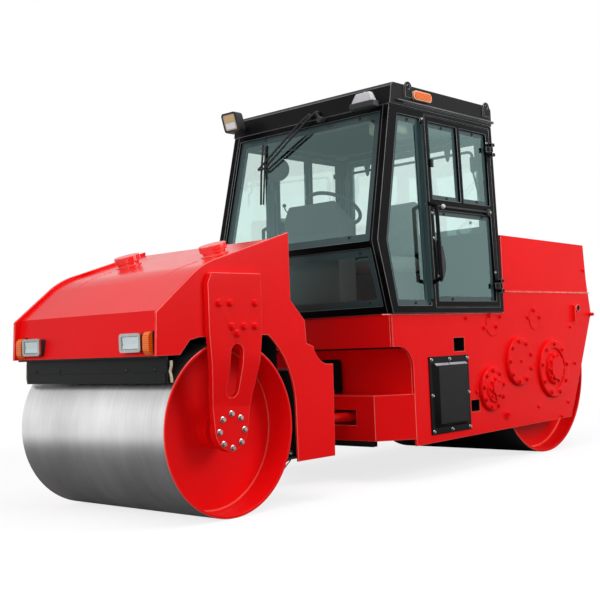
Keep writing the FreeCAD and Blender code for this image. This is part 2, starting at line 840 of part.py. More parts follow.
def rear_cross_members():
    """Cylinder bracket, engine cradle, bulkhead, rear wall and drum guard."""
    inner = d.rear_half_width - d.rear_plate_thick
    bracket_y = d.barrel_pin_y + 60
    front = box("FrontMember", -inner, bracket_y, d.cylinder_z - 123, 2 * inner, 20, 240)
    lugs = []
    gap = d.eye_height / 2 + 3
    for side in (0, 1):
        x = d.barrel_pin_x - 50 if side else -d.barrel_pin_x - 50
        for z in (d.cylinder_z + gap, d.cylinder_z - gap - 14):
            lugs.append(box("BarrelLug", x, d.barrel_pin_y - 45, z,
                            100, bracket_y + 10 - (d.barrel_pin_y - 45), 14))
        x = d.barrel_pin_x if side else 0 - d.barrel_pin_x
        lugs.append(rod("BarrelPin", "z", x, d.barrel_pin_y, d.cylinder_z - gap - 20,
                        d.eye_pin_radius, 2 * gap + 40))
    bracket = fused("CylinderBracket", front, *lugs)
    bulkhead = box("Bulkhead", -inner, bulkhead_y(), d.bulkhead_low_z, 2 * inner,
                   d.sheet_thick, d.deck_z - 30 - d.bulkhead_low_z)
    cradle = [box("EngineCradle", -inner, y, d.engine_low_z - d.cradle_height, 2 * inner,
                  d.cradle_depth, d.cradle_height)
              for y in (d.engine_front_y + 40, bulkhead_y() - 160)]
    wall_y = d.hood_seam_y - 40
    rear = box("RearWall", -inner, wall_y, d.rump_z + 10, 2 * inner, 16,
               d.hood_seam_z - d.rump_z - 10)
    hinges = []
    pin_length = d.hood_knuckle_length + 80
    for side in (-1, 1):
        x = side * d.hood_hinge_x
        for step in (-1, 1):
            lug_x = x + step * (d.hood_knuckle_length / 2 + 21) - 15
            hinges.append(box("HoodLug", lug_x, wall_y + 15, d.hood_hinge_z - 27, 30,
                              d.hood_hinge_y - wall_y - 2, 22))
            hinges.append(rod("HoodLugEye", "x", lug_x, d.hood_hinge_y, d.hood_hinge_z,
                              d.hood_knuckle_radius, 30))
        hinges.append(rod("HoodPin", "x", x - pin_length / 2, d.hood_hinge_y, d.hood_hinge_z,
                          d.hood_pin_radius, pin_length))
    rear = fused("RearWallSet", rear, *hinges)
    guard_radius = d.rear_drum_radius + d.guard_gap
    outer = rod("GuardOuter", "x", -inner, d.rear_axle_y, d.rear_drum_radius,
                guard_radius + d.guard_thick, 2 * inner)
    hollow = rod("GuardInner", "x", -inner - 5, d.rear_axle_y, d.rear_drum_radius,
                 guard_radius, 2 * inner + 10)
    keep = box("GuardKeep", -inner, d.rear_axle_y - d.guard_half_length, d.guard_low_z,
               2 * inner, 2 * d.guard_half_length, d.rear_drum_radius)
    guard = common("DrumGuard", cut("GuardRing", outer, hollow), keep)
    label(group("CrossMembers", bracket, *cradle, bulkhead, rear, guard), "cross_members")


def engine():
    label(box("EngineBlock", 0 - d.engine_half_width, d.engine_front_y, d.engine_low_z,
              2 * d.engine_half_width, bulkhead_y() - 150 - d.engine_front_y,
              d.engine_height), "engine_block")


def side_grilles():
    inner = d.rear_half_width
    frame = d.grille_frame
    y, z = d.grille_y, d.grille_z
    body = plate("Grille", "YZ_Plane", inner, d.grille_depth,
                 rectangle(y, y + d.grille_length, z, z + d.grille_height))
    pocket(body, "YZ_Plane", inner - 5, 20,
           rectangle(y + frame, y + d.grille_length - frame,
                     z + frame, z + d.grille_height - frame))
    bars = []
    count = 14
    pitch = (d.grille_height - 2 * frame) / count
    for i in range(count):
        bars.append(box("GrilleBar", inner, y + frame, z + frame + pitch * (i + 0.3),
                        d.grille_depth - 2, d.grille_length - 2 * frame, pitch * 0.25))
    label(both_sides("SideGrilles", fused("SideGrille", body, *bars)), "side_grilles")


def round_cover(name, y, z, *steps):
    """Stepped round cover on the side plate, from (height, radius) steps."""
    x = d.rear_half_width
    return turned(name, 0, y, z, [
        (x, 0.0), *[(x + height, radius) for height, radius in steps],
        (x + steps[-1][0], 0.0)])


def drive_covers():
    thick = d.cover_thick
    hub = d.pinion_radius / 3
    rim = d.axle_cover_radius
    pieces = [
        round_cover("IdlerCover", d.idler_y, d.idler_z,
                    (0, d.idler_radius), (thick * 0.8, d.idler_radius),
                    (thick, d.idler_radius - 6)),
        round_cover("PinionCover", d.pinion_y, d.pinion_z,
                    (0, d.pinion_radius), (thick * 0.8, d.pinion_radius),
                    (thick, d.pinion_radius - 6), (thick, 2 * hub),
                    (thick * 1.5, 1.8 * hub), (thick * 1.5, hub), (thick * 2.2, hub)),
        round_cover("AxleCover", d.rear_axle_y, d.rear_drum_radius,
                    (0, rim), (thick * 0.8, rim), (thick, rim - 6), (thick, rim * 0.71),
                    (thick * 0.4, rim * 0.69), (thick * 0.4, rim * 0.55),
                    (thick * 1.3, rim * 0.53), (thick * 1.3, rim * 0.4), (thick * 2, rim * 0.4)),
        round_cover("UpperCoverA", d.patch_a_y, d.patch_a_z,
                    (0, d.patch_radius), (thick / 6, d.patch_radius)),
        round_cover("UpperCoverB", d.patch_b_y, d.patch_b_z,
                    (0, d.patch_radius), (thick / 6, d.patch_radius)),
    ]
    label(both_sides("DriveCovers", group("DriveCoverSet", *pieces)), "drive_covers")


def rear_axles():
    inner = d.rear_half_width - d.rear_plate_thick
    hub_in = d.drum_half_width - d.rear_web_inset - d.web_thick - 60
    axle = turned("RearAxle", 0, d.rear_axle_y, d.rear_drum_radius, [
        (hub_in, 0.0), (hub_in, d.rear_journal_radius), (inner, d.rear_journal_radius),
        (inner, 0.0)])
    label(both_sides("RearAxles", axle), "rear_axles")


def rear_hood():
    """Hinged cover over the rear tank, seamed above the side plates."""
    half = d.rear_half_width
    low = d.hood_seam_z + d.moving_gap
    wall = d.hood_wall
    body = plate("RearHood", "YZ_Plane", -half, 2 * half, [
        (d.hood_front_y, low), (d.hood_seam_y, low),
        (d.hood_top_rear_y + 28, low + 115),
        (d.hood_top_rear_y, d.hood_top_rear_z), (d.hood_front_y, d.hood_top_front_z)])
    pocket(body, "YZ_Plane", -half + wall, 2 * half - 2 * wall, [
        (d.hood_front_y + wall, low), (d.hood_seam_y - wall, low),
        (d.hood_top_rear_y + 28 - wall, low + 110),
        (d.hood_top_rear_y - wall, d.hood_top_rear_z - wall),
        (d.hood_front_y + wall, d.hood_top_front_z - wall)])
    pieces = [body]
    for side in (-1, 1):
        x = side * d.hood_hinge_x - d.hood_knuckle_length / 2
        pieces.append(rod("HoodKnuckle", "x", x, d.hood_hinge_y, d.hood_hinge_z,
                          d.hood_knuckle_radius, d.hood_knuckle_length))
        pieces.append(box("HoodStrap", x, d.hood_seam_y - wall, d.hood_seam_z + 6 + d.moving_gap,
                          d.hood_knuckle_length, d.hood_hinge_y - d.hood_seam_y + wall, 12))
    bore = rod("HoodHingeBore", "x", 0 - half, d.hood_hinge_y, d.hood_hinge_z,
               d.hood_pin_radius + d.running_clearance, 2 * half)
    label(cut("HoodSet", fused("HoodSolid", *pieces), bore), "rear_hood")


def rear_fittings():
    """Lashing tubes on the flanks and the towing pin at the back."""
    x = d.rear_half_width
    y, z = d.lashing_y, d.lashing_z
    tube = rod("LashingTube", "x", x, y, z, d.lashing_radius, d.lashing_length)
    hole = rod("LashingBore", "x", x - 2, y, z, d.lashing_bore, d.lashing_length + 15)
    gusset = box("LashingGusset", x, y - d.lashing_radius - d.gusset_thick + 3,
                 z - d.gusset_drop, d.lashing_length - 8, d.gusset_thick, d.gusset_drop + 30)
    label(both_sides("LashingTubes", cut("LashingEye", fused("LashingSet", tube, gusset), hole)),
          "lashing_tubes")


# ---------------------------------------------------------------- steering cylinders

def cylinder_frame():
    """Angle of the cylinder's line to -Y, and the distance between its pins."""
    across = d.barrel_pin_x - d.rod_pin_x
    along = d.barrel_pin_y - d.pivot_y
    length = root(across * across + along * along)
    return across / length, along / length, length


def along_cylinder(item, slope, run, distance, height):
    """Puts a piece that runs along +Z on the left cylinder's line."""
    x = d.barrel_pin_x - slope * distance
    y = d.barrel_pin_y - run * distance
    angle = math.degrees(math.atan2(-number(slope), number(run)))
    turn = FreeCAD.Rotation(Vector(0, 0, 1), angle) * FreeCAD.Rotation(Vector(1, 0, 0), 90)
    item.Placement = FreeCAD.Placement(Vector(), turn)
    place(item, x, y, height)
    return item


def steering_cylinders():
    slope, run, length = cylinder_frame()
    z = d.cylinder_z
    half = d.eye_height / 2
    barrel = doc.addObject("Part::Cylinder", "Barrel")
    bind(barrel, "Radius", d.cylinder_radius)
    bind(barrel, "Height", d.cylinder_length - 62)
    along_cylinder(barrel, slope, run, 62, z)
    neck = doc.addObject("Part::Cylinder", "BarrelNeck")
    bind(neck, "Radius", 19)
    bind(neck, "Height", 50)
    along_cylinder(neck, slope, run, 20, z)
    bore = doc.addObject("Part::Cylinder", "BarrelBore")
    bind(bore, "Radius", d.rod_radius + d.running_clearance)
    bind(bore, "Height", d.cylinder_length)
    along_cylinder(bore, slope, run, 90, z)
    eye = rod("BarrelEye", "z", d.barrel_pin_x, d.barrel_pin_y, z - half,
              d.eye_radius, d.eye_height)
    pin_bore = rod("BarrelEyeBore", "z", d.barrel_pin_x, d.barrel_pin_y, z - half - 5,
                   d.eye_pin_radius + d.running_clearance, d.eye_height + 10)
    solid = cut("BarrelSolid", fused("BarrelFused", barrel, neck, eye), bore, pin_bore)
    sides("steering_barrel", solid)
    rod_bar = doc.addObject("Part::Cylinder", "RodBar")
    bind(rod_bar, "Radius", d.rod_radius)
    bind(rod_bar, "Height", length - 70 - 250)
    along_cylinder(rod_bar, slope, run, 250, z)
    rod_bar_end = doc.addObject("Part::Cylinder", "RodNeck")
    bind(rod_bar_end, "Radius", d.rod_radius)
    bind(rod_bar_end, "Height", 60)
    along_cylinder(rod_bar_end, slope, run, length - 75, z)
    eye = rod("RodEye", "z", d.rod_pin_x, d.pivot_y, z - half, d.eye_radius, d.eye_height)
    sides("steering_rod", fused("SteeringRod", rod_bar, rod_bar_end, eye))


# ---------------------------------------------------------------- cab

def hinge_heights():
    return (d.door_bottom_z + 140, door_top() - 180)


def cab_top():
    return d.roof_top_z - d.roof_thick


def door_top():
    return cab_top() - d.door_head


def inner_half(z):
    """Half width inside the cab's leaning sides at a height."""
    tilt = d.cab_side_tilt
    return d.cab_half_width - d.cab_wall - (z - d.deck_z) * sine(tilt) / cosine(tilt)


def front_line(z):
    """Where the leaning front of the cab is above its knee."""
    return d.cab_knee_y + (z - d.cab_knee_z) * (d.cab_brow_y - d.cab_knee_y) / (
        cab_top() - d.cab_knee_z)


def leaned(item):
    """Leans a side piece inwards about the inner edge of its foot."""
    tilt = d.cab_side_tilt
    x, z = d.cab_half_width - d.cab_wall, d.deck_z
    item.Placement = FreeCAD.Placement(
        Vector(), FreeCAD.Rotation(Vector(0, 1, 0), -number(tilt)))
    place(item, x - x * cosine(tilt) + z * sine(tilt), 0,
          z - x * sine(tilt) - z * cosine(tilt))
    return item


def cab_sides():
    inner = d.cab_half_width - d.cab_wall
    top = cab_top() - 2
    body = plate("CabSide", "YZ_Plane", inner, d.cab_wall, [
        (d.cab_foot_y, d.deck_z), (d.cab_rear_y, d.deck_z), (d.cab_rear_y, top),
        (front_line(top), top), (d.cab_knee_y, d.cab_knee_z)])
    gap = d.moving_gap
    low, high = d.door_bottom_z + 10, door_top() - 30
    pane_outline = [
        (d.cab_foot_y + 60, low), (d.quarter_rear_y, low), (d.quarter_rear_y, high),
        (front_line(high) + d.pillar_width, high), (d.cab_knee_y + d.pillar_width, d.cab_knee_z)]
    pocket(body, "YZ_Plane", inner - 5, d.cab_wall + 10, pane_outline,
           rectangle(d.door_front_y - gap, d.door_rear_y + gap,
                     d.door_bottom_z - gap, door_top() + gap))
    brackets = []
    hinge_x = d.cab_half_width + d.moving_gap + d.hinge_radius
    for z in hinge_heights():
        low = z - d.moving_gap - 25
        high = z + d.hinge_height + d.moving_gap
        for foot in (low, high):
            brackets.append(box("HingeBracket", d.cab_half_width - 1, d.door_rear_y + 1, foot,
                                hinge_x - d.cab_half_width + d.hinge_radius, 40, 25))
        brackets.append(rod("HingePin", "z", hinge_x, d.door_rear_y + gap, low,
                            d.hinge_pin_radius, high + 25 - low))
    sides("cab_side", leaned(fused("CabSideSet", body, *brackets)))
    pane = plate("QuarterGlass", "YZ_Plane", inner + d.glass_inset, d.glass_thick, pane_outline)
    return both_sides("QuarterPanes", leaned(pane))


def trapezoid(z_low, z_high, inset):
    """Outline across the cab, its ends along the leaning sides."""
    low, high = inner_half(z_low) - inset, inner_half(z_high) - inset
    return [(0 - low, z_low), (low, z_low), (high, z_high), (0 - high, z_high)]


def cab_front():
    """Kneed windscreen frame with its cross bar, and the two panes."""
    wall = d.cab_wall
    half = d.cab_half_width
    top = cab_top()
    start = 0 - d.cab_brow_y - wall - 50
    depth = d.cab_brow_y - d.cab_knee_y + wall + 80
    shell = plate("CabFront", "YZ_Plane", -half, 2 * half, [
        (d.cab_foot_y, d.deck_z), (d.cab_foot_y + wall, d.deck_z),
        (d.cab_knee_y + wall, d.cab_knee_z), (d.cab_brow_y + wall, top),
        (d.cab_brow_y, top), (d.cab_knee_y, d.cab_knee_z)])
    upper = trapezoid(d.cab_knee_z, top - 45, 25)
    lower = trapezoid(d.door_bottom_z + 10, d.cab_knee_z - d.screen_bar, 25)
    pocket(shell, "XZ_Plane", start, depth, upper, lower)
    edge = plate("FrontEdge", "XZ_Plane", start, depth, trapezoid(d.deck_z, top, 0))
    label(common("CabFrontSet", shell, edge), "cab_front")
    inset = d.glass_inset
    thick = d.glass_thick
    sheet_of_glass = plate("ScreenSheet", "YZ_Plane", -half, 2 * half, [
        (d.cab_foot_y + inset, d.deck_z), (d.cab_foot_y + inset + thick, d.deck_z),
        (d.cab_knee_y + inset + thick, d.cab_knee_z), (d.cab_brow_y + inset + thick, top),
        (d.cab_brow_y + inset, top), (d.cab_knee_y + inset, d.cab_knee_z)])
    stencil = plate("ScreenStencil", "XZ_Plane", start, depth, upper, lower)
    label(common("Windscreen", sheet_of_glass, stencil), "windscreen")


def cab_rear(quarter_panes):
    start = 0 - d.cab_rear_y
    top = cab_top()
    body = plate("CabRear", "XZ_Plane", start, d.cab_wall, trapezoid(d.deck_z, top, 0))
    window = trapezoid(d.rear_sill_z, top - 80, d.rear_window_inset)
    pocket(body, "XZ_Plane", start - 5, d.cab_wall + 10, window)
    label(body, "cab_rear")
    pane = plate("RearPane", "XZ_Plane", start + d.glass_inset, d.glass_thick, window)
    label(group("CabWindows", pane, quarter_panes), "cab_windows")


def cab_roof():
    """Flat roof box with bored lifting ears and rain gutters."""
    half = d.roof_half_width
    low = cab_top()
    shell = plate("CabRoof", "YZ_Plane", -half, 2 * half, [
        (d.roof_front_y, low), (d.roof_rear_y, low),
        (d.roof_rear_y, d.roof_top_z - d.roof_edge), (d.roof_rear_y - d.roof_edge, d.roof_top_z),
        (d.roof_front_y + 23 + d.roof_edge, d.roof_top_z),
        (d.roof_front_y + 23, d.roof_top_z - d.roof_edge)])
    lugs = []
    radius = d.ear_radius
    for y in (d.ear_front_y, d.ear_rear_y):
        ear = plate("LiftingEar", "YZ_Plane", half, d.ear_thick, [
            (y - radius, d.roof_top_z - 90), (y + radius, d.roof_top_z - 90),
            (y + radius, d.roof_top_z - 15, radius * 1.001), (y - radius, d.roof_top_z - 15)])
        pocket(ear, "YZ_Plane", half - 5, d.ear_thick + 10,
               circles=[(y, d.roof_top_z - 15, d.lug_hole_radius)])
        lugs.append(ear)
    gutter = box("Gutter", half, d.roof_front_y + 160, low + 20, 14,
                 d.roof_rear_y - d.roof_front_y - 145, 10)
    left = fused("RoofFittings", *lugs, gutter)
    label(fused("CabRoofSet", shell, left, mirrored("RoofFittingsRight", left)), "cab_roof")
    return shell


def cab_lamps(roof):
    """Work lamps on stays under the roof's front, and side signals."""
    half = d.roof_half_width
    low = cab_top()
    lamps = []
    for x, z, wide, high in (
            (half - 258, low - 25, d.near_lamp_width, d.near_lamp_height),
            (-half - 5, low + 30, d.far_lamp_width, d.far_lamp_height)):
        head = box("WorkLamp", x, d.roof_front_y - 60 - d.work_lamp_depth, z,
                   wide, d.work_lamp_depth, high)
        stay = box("WorkLampStay", x + wide / 2 - 15, d.roof_front_y - 60 - 20,
                   low + 35, 30, 110, 30)
        lamps.append(cut("WorkLampSet", fused("WorkLampHead", head, stay), roof))
    label(group("WorkLamps", *lamps), "work_lamps")
    signal = box("RoofSignal", half, d.ear_front_y + d.ear_radius + 4, low + 58, 30, 218, 66)
    label(both_sides("RoofSignals", signal), "roof_signals")


def grab_rails():
    """Bowed handle on the pillar in front of each door."""
    x = d.cab_half_width - 2
    y = (d.quarter_rear_y + d.door_front_y) / 2 - 3
    reach = d.grab_reach + 2
    radius = d.grab_radius
    low, high = d.grab_low_z + 30, d.grab_high_z - 30
    pieces = [rod("GrabBar", "z", x + reach, y, low, radius, high - low)]
    for z, foot_z in ((low, d.grab_low_z), (high, d.grab_high_z)):
        elbow = doc.addObject("Part::Sphere", "GrabElbow")
        bind(elbow, "Radius", radius)
        place(elbow, x + reach, y, z)
        arm = doc.addObject("Part::Cylinder", "GrabArm")
        bind(arm, "Radius", radius)
        rise = z - foot_z
        bind(arm, "Height", root(reach * reach + rise * rise))
        lean = math.degrees(math.atan2(number(reach), number(rise)))
        arm.Placement = FreeCAD.Placement(Vector(), FreeCAD.Rotation(Vector(0, 1, 0), lean))
        place(arm, x, y, foot_z)
        pieces += [elbow, arm]
    bar = fused("GrabBarSet", *pieces)
    keep = box("GrabKeep", x + 2, y - 60, d.grab_low_z - 100, reach + 60, 120,
               d.grab_high_z - d.grab_low_z + 200)
    label(both_sides("GrabRails", leaned(common("GrabRailLeft", bar, keep))), "grab_rails")


def doors():
    inner = d.cab_half_width - d.cab_wall
    stile = d.door_stile
    front, rear = d.door_front_y, d.door_rear_y
    middle = (front + rear) / 2
    rail_low = d.door_rail_z
    rail_high = d.door_rail_z + d.door_rail_height
    body = plate("Door", "YZ_Plane", inner, d.cab_wall,
                 rectangle(front, rear, d.door_bottom_z, door_top()))
    panes = (
        rectangle(front + stile, rear - stile, d.door_bottom_z + stile, rail_low),
        rectangle(front + stile, middle - 20, rail_high, door_top() - stile),
        rectangle(middle + 20, rear - stile, rail_high, door_top() - stile),
    )
    pocket(body, "YZ_Plane", inner - 5, d.cab_wall + 10, *panes)
    hinge_x = d.cab_half_width + d.moving_gap + d.hinge_radius
    straps = []
    for z in hinge_heights():
        straps.append(box("HingeStrap", d.cab_half_width - 1, rear - 60, z,
                          hinge_x - d.cab_half_width - d.hinge_radius / 2, 60, d.hinge_height))
        straps.append(box("HingeNeck", d.cab_half_width + d.moving_gap, rear - 12, z,
                          d.hinge_radius, 12 + d.moving_gap, d.hinge_height))
        straps.append(rod("HingeKnuckle", "z", hinge_x, rear + d.moving_gap, z,
                          d.hinge_radius, d.hinge_height))
    bore = rod("HingeBore", "z", hinge_x, rear + d.moving_gap, d.door_bottom_z,
               d.hinge_pin_radius + d.running_clearance, door_top() - d.door_bottom_z)
    sides("door", leaned(cut("DoorSet", fused("DoorSolid", body, *straps), bore)))
    glass = plate("DoorGlass", "YZ_Plane", inner + d.glass_inset, d.glass_thick, *panes)
    sides("door_glass", leaned(glass))


# ---------------------------------------------------------------- inside the cab

def steering_wheel_piece(kind, turn, along, **sizes):
    """A round piece on the steering column's line, so far up from the wheel."""
    item = doc.addObject("Part::" + kind, "Wheel" + kind)
    for path, size in sizes.items():
        bind(item, path, size)
    item.Placement = FreeCAD.Placement(Vector(), turn)
    tilt = d.wheel_tilt
    place(item, 0, d.wheel_y + along * sine(tilt), d.wheel_z + along * cosine(tilt))
    return item


def controls():
    """Console with the steering column, and the wheel that turns on its pin."""
    turn = FreeCAD.Rotation(Vector(1, 0, 0), -number(d.wheel_tilt))
    rim = steering_wheel_piece("Torus", turn, 0,
                               Radius1=d.wheel_radius, Radius2=d.wheel_rim_radius)
    boss = steering_wheel_piece("Cylinder", turn, -20, Radius=38, Height=40)
    spokes = []
    for angle in (90, 210, 330):
        spoke = doc.addObject("Part::Cylinder", "WheelSpoke")
        bind(spoke, "Radius", 9)
        bind(spoke, "Height", d.wheel_radius)
        spoke.Placement = FreeCAD.Placement(
            Vector(), turn * FreeCAD.Rotation(Vector(0, 0, 1), angle)
            * FreeCAD.Rotation(Vector(0, 1, 0), 90))
        place(spoke, 0, d.wheel_y, d.wheel_z)
        spokes.append(spoke)
    bore = steering_wheel_piece("Cylinder", turn, -30,
                                Radius=d.column_pin_radius + d.running_clearance, Height=42)
    label(cut("SteeringWheel", fused("WheelSolid", rim, boss, *spokes), bore), "steering_wheel")
    console_y = d.wheel_y - d.console_depth - 85
    console = box("Console", 0 - d.console_width / 2, console_y, d.deck_z,
                  d.console_width, d.console_depth, d.console_height)
    column = steering_wheel_piece("Cylinder", turn, -357,
                                  Radius=d.column_radius, Height=336.5)
    pin = steering_wheel_piece("Cylinder", turn, -60,
                               Radius=d.column_pin_radius, Height=71.5)
    label(fused("ConsoleSet", console, column, pin), "console")


def seat():
    half = d.seat_width / 2
    low = d.seat_z - d.cushion_thick
    label(box("SeatBase", 0 - half * 0.75, d.seat_y - d.seat_depth / 2 + 20, d.deck_z,
              half * 1.5, d.seat_depth * 0.8, low - d.deck_z), "seat_base")
    label(box("SeatCushion", 0 - half, d.seat_y - d.seat_depth / 2 - 30, low, d.seat_width,
              d.seat_depth, d.cushion_thick), "seat_cushion")
    label(box("SeatBack", 0 - half, d.seat_y + d.back_thick, d.seat_z + 0.3, d.seat_width,
              d.back_thick, d.back_height), "seat_back")


# ---------------------------------------------------------------- build and write

def build():
    drums()
    front_side_plates()
    tank = water_tank()
    filler_caps(tank)
    front_cross_beam()
    yoke_arms()
    front_hubs()
    front_scrapers()
    front_lamps(tank)
    rear_side_plates()
    front_box()
    recess_liner()
    rear_cross_members()
    engine()
    side_grilles()
    drive_covers()
    rear_axles()
    rear_hood()
    rear_fittings()
    steering_cylinders()
    quarter_panes = cab_sides()
    cab_front()
    cab_rear(quarter_panes)
    roof = cab_roof()
    cab_lamps(roof)
    grab_rails()
    doors()
    controls()
    seat()
    doc.recompute()


def write():
    for item in doc.Objects:
        if "Invalid" in item.State or "Error" in item.State:
            raise RuntimeError(item.Label + " has failed: " + str(item.State))
    for name, item in subparts.items():
        if item.Shape.isNull() or not item.Shape.isValid():
            raise RuntimeError(name + " has no valid shape")
    os.makedirs("parts", exist_ok=True)
    for name, item in subparts.items():
        item.Shape.exportStep("parts/" + name + ".step")


build()
write()
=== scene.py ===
import bpy
import bmesh
import math
from mathutils import Matrix, Vector
from mathutils.bvhtree import BVHTree


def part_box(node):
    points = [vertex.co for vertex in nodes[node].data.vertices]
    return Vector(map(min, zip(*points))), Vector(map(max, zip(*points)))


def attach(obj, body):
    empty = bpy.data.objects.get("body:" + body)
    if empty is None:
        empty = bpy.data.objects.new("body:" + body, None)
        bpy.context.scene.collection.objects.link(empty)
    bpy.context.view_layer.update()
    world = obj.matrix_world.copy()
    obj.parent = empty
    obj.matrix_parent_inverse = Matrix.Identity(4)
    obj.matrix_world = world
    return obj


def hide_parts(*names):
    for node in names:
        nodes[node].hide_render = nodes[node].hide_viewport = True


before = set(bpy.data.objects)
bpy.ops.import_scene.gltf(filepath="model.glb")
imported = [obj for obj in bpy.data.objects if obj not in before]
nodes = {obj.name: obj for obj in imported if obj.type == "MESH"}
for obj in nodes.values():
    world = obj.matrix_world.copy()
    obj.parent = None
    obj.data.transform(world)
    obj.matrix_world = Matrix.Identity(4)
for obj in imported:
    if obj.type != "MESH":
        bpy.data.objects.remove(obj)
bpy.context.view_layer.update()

# ---------------------------------------------------------------- studio
# The machine stands on a plain pale floor in front of white, and is looked at
# from its front left corner at about standing height.

eye = Vector((4.989, -6.001, 0.996))
heading, tilt, lean = math.radians(42.28), math.radians(2.34), math.radians(-2.36)
along = Vector((-math.sin(heading) * math.cos(tilt), math.cos(heading) * math.cos(tilt), math.sin(tilt)))
across = Vector((math.cos(heading), math.sin(heading), 0))
upward = across.cross(along)
right = across * math.cos(lean) + upward * math.sin(lean)
up = upward * math.cos(lean) - across * math.sin(lean)
camera = bpy.data.objects.new("studio_camera", bpy.data.cameras.new("studio_camera"))
camera.data.sensor_width, camera.data.lens = 36, 61.45
camera.data.clip_end = 200
camera.matrix_world = Matrix((
    (right.x, up.x, -along.x, eye.x),
    (right.y, up.y, -along.y, eye.y),
    (right.z, up.z, -along.z, eye.z),
    (0, 0, 0, 1)))
bpy.context.scene.collection.objects.link(camera)
bpy.context.scene.camera = camera
bpy.context.scene.view_settings.view_transform = "Standard"


def fitted(node, inputs):
    """Gives each input of the node a value, or a link from a socket or another node's first output."""
    for socket, value in inputs.items():
        if isinstance(value, bpy.types.Node):
            value = next(output for output in value.outputs if output.enabled)
        if isinstance(value, bpy.types.NodeSocket):
            node.id_data.links.new(value, node.inputs[socket])
        else:
            node.inputs[socket].default_value = value
    return node


def added(tree, kind, inputs={}, **settings):
    """A new node of this kind in the tree, with its settings and inputs."""
    node = tree.nodes.new("ShaderNode" + kind)
    for setting, value in settings.items():
        setattr(node, setting, value)
    return fitted(node, inputs)


def looked_at(tree):
    """Two values of the tree: whether a mirror looks, and whether the eye, a mirror or a glass does."""
    rays = added(tree, "LightPath")
    mirror = rays.outputs["Is Glossy Ray"]
    either = added(tree, "Math", {0: rays.outputs["Is Camera Ray"], 1: mirror}, operation="MAXIMUM")
    any_of_them = added(tree, "Math", {0: either, 1: rays.outputs["Is Transmission Ray"]}, operation="MAXIMUM")
    return mirror, any_of_them


world = bpy.data.worlds.new("studio_air")
bpy.context.scene.world = world
world.use_nodes = True
air = world.node_tree
air.nodes.clear()
in_mirror, in_sight = looked_at(air)
height = added(air, "SeparateXYZ", {0: added(air, "TexCoord").outputs["Generated"]})
horizon = added(air, "ValToRGB", {"Fac": height.outputs["Z"]})
band = horizon.color_ramp
for at, tone in ((0.02, 0.9), (0.30, 0.95), (0.50, 0.5), (0.585, 0.52), (0.67, 0.95), (0.85, 1.0)):
    stop = band.elements.new(at)
    stop.color = (tone, tone, tone, 1)
band.elements[0].color, band.elements[-1].color = (0.30, 0.30, 0.30, 1), (1, 1, 1, 1)
mirrored = added(air, "Mix", {"Factor": in_mirror, "A": 1.0, "B": horizon})
soft_air = added(air, "Background", {"Color": (0.97, 0.985, 1, 1), "Strength": 0.5})
white_air = added(air, "Background", {"Color": (1, 1, 1, 1), "Strength": mirrored})
added(air, "OutputWorld", {0: added(air, "MixShader", {0: in_sight, 1: soft_air, 2: white_air})})

bpy.ops.object.select_all(action="DESELECT")
bpy.ops.mesh.primitive_circle_add(vertices=96, radius=60, fill_type="NGON")
floor = bpy.context.object
floor.name = "studio_floor"
floor_finish = bpy.data.materials.new("studio_floor")
floor_finish.use_nodes = True
ground = floor_finish.node_tree
ground.nodes.clear()
reach = added(ground, "VectorMath", {0: added(ground, "TexCoord").outputs["Object"]}, operation="LENGTH")
fade, rim = (added(ground, "MapRange", {"Value": reach.outputs["Value"], "From Min": near, "From Max": far},
                   interpolation_type="SMOOTHSTEP") for near, far in ((3.0, 5.5), (3.4, 6.0)))
paper = added(ground, "BsdfDiffuse", {"Color": (0.26, 0.26, 0.264, 1)})
plain_paper = added(ground, "BsdfDiffuse", {"Color": (0.15, 0.15, 0.15, 1)})
glow, white = (added(ground, "Emission", {"Strength": strength}) for strength in (0.77, 1.0))
lit_paper = added(ground, "AddShader", {0: paper, 1: glow})
lit_floor = added(ground, "MixShader", {0: fade, 1: lit_paper, 2: white})
mirrored_floor = added(ground, "MixShader", {0: rim, 1: plain_paper, 2: white})
in_mirror, in_sight = looked_at(ground)
seen_floor = added(ground, "MixShader", {0: in_mirror, 1: lit_floor, 2: mirrored_floor})
added(ground, "OutputMaterial", {0: added(ground, "MixShader", {0: in_sight, 1: plain_paper, 2: seen_floor})})
floor.data.materials.append(floor_finish)


def softbox(name, place, aim, wide, high, power):
    """A big soft studio lamp at place that faces aim."""
    lamp = bpy.data.lights.new(name, "AREA")
    lamp.shape, lamp.size, lamp.size_y, lamp.energy = "RECTANGLE", wide, high, power
    holder = bpy.data.objects.new(name, lamp)
    bpy.context.scene.collection.objects.link(holder)
    holder.location = place
    holder.rotation_euler = (Vector(aim) - Vector(place)).to_track_quat("-Z", "Y").to_euler()


softbox("softbox_top", (1.5, -1.0, 7.5), (0, 0, 0), 6, 6, 225)
softbox("softbox_side", (6.6, 2.6, 4.0), (0, 0, 1.1), 3.6, 3.2, 275)
softbox("softbox_front", (0.5, -9.0, 3.0), (0, 0, 1.0), 5, 3, 195)
softbox("softbox_low", (4.2, -7.0, 1.2), (0.4, -0.4, 0.7), 2.0, 1.2, 60)


# ---------------------------------------------------- front frame plates
# Side plates, yoke arms and cross beam are cut steel plate, welded, ground
# along the edges and sprayed with gloss red enamel over primer. A paler red
# on the ground edges is a painted highlight.

def new_finish(name):
    """A new material, its skin shader and its node tree."""
    finish = bpy.data.materials.new(name)
    finish.use_nodes = True
    return finish, finish.node_tree.nodes["Principled BSDF"], finish.node_tree


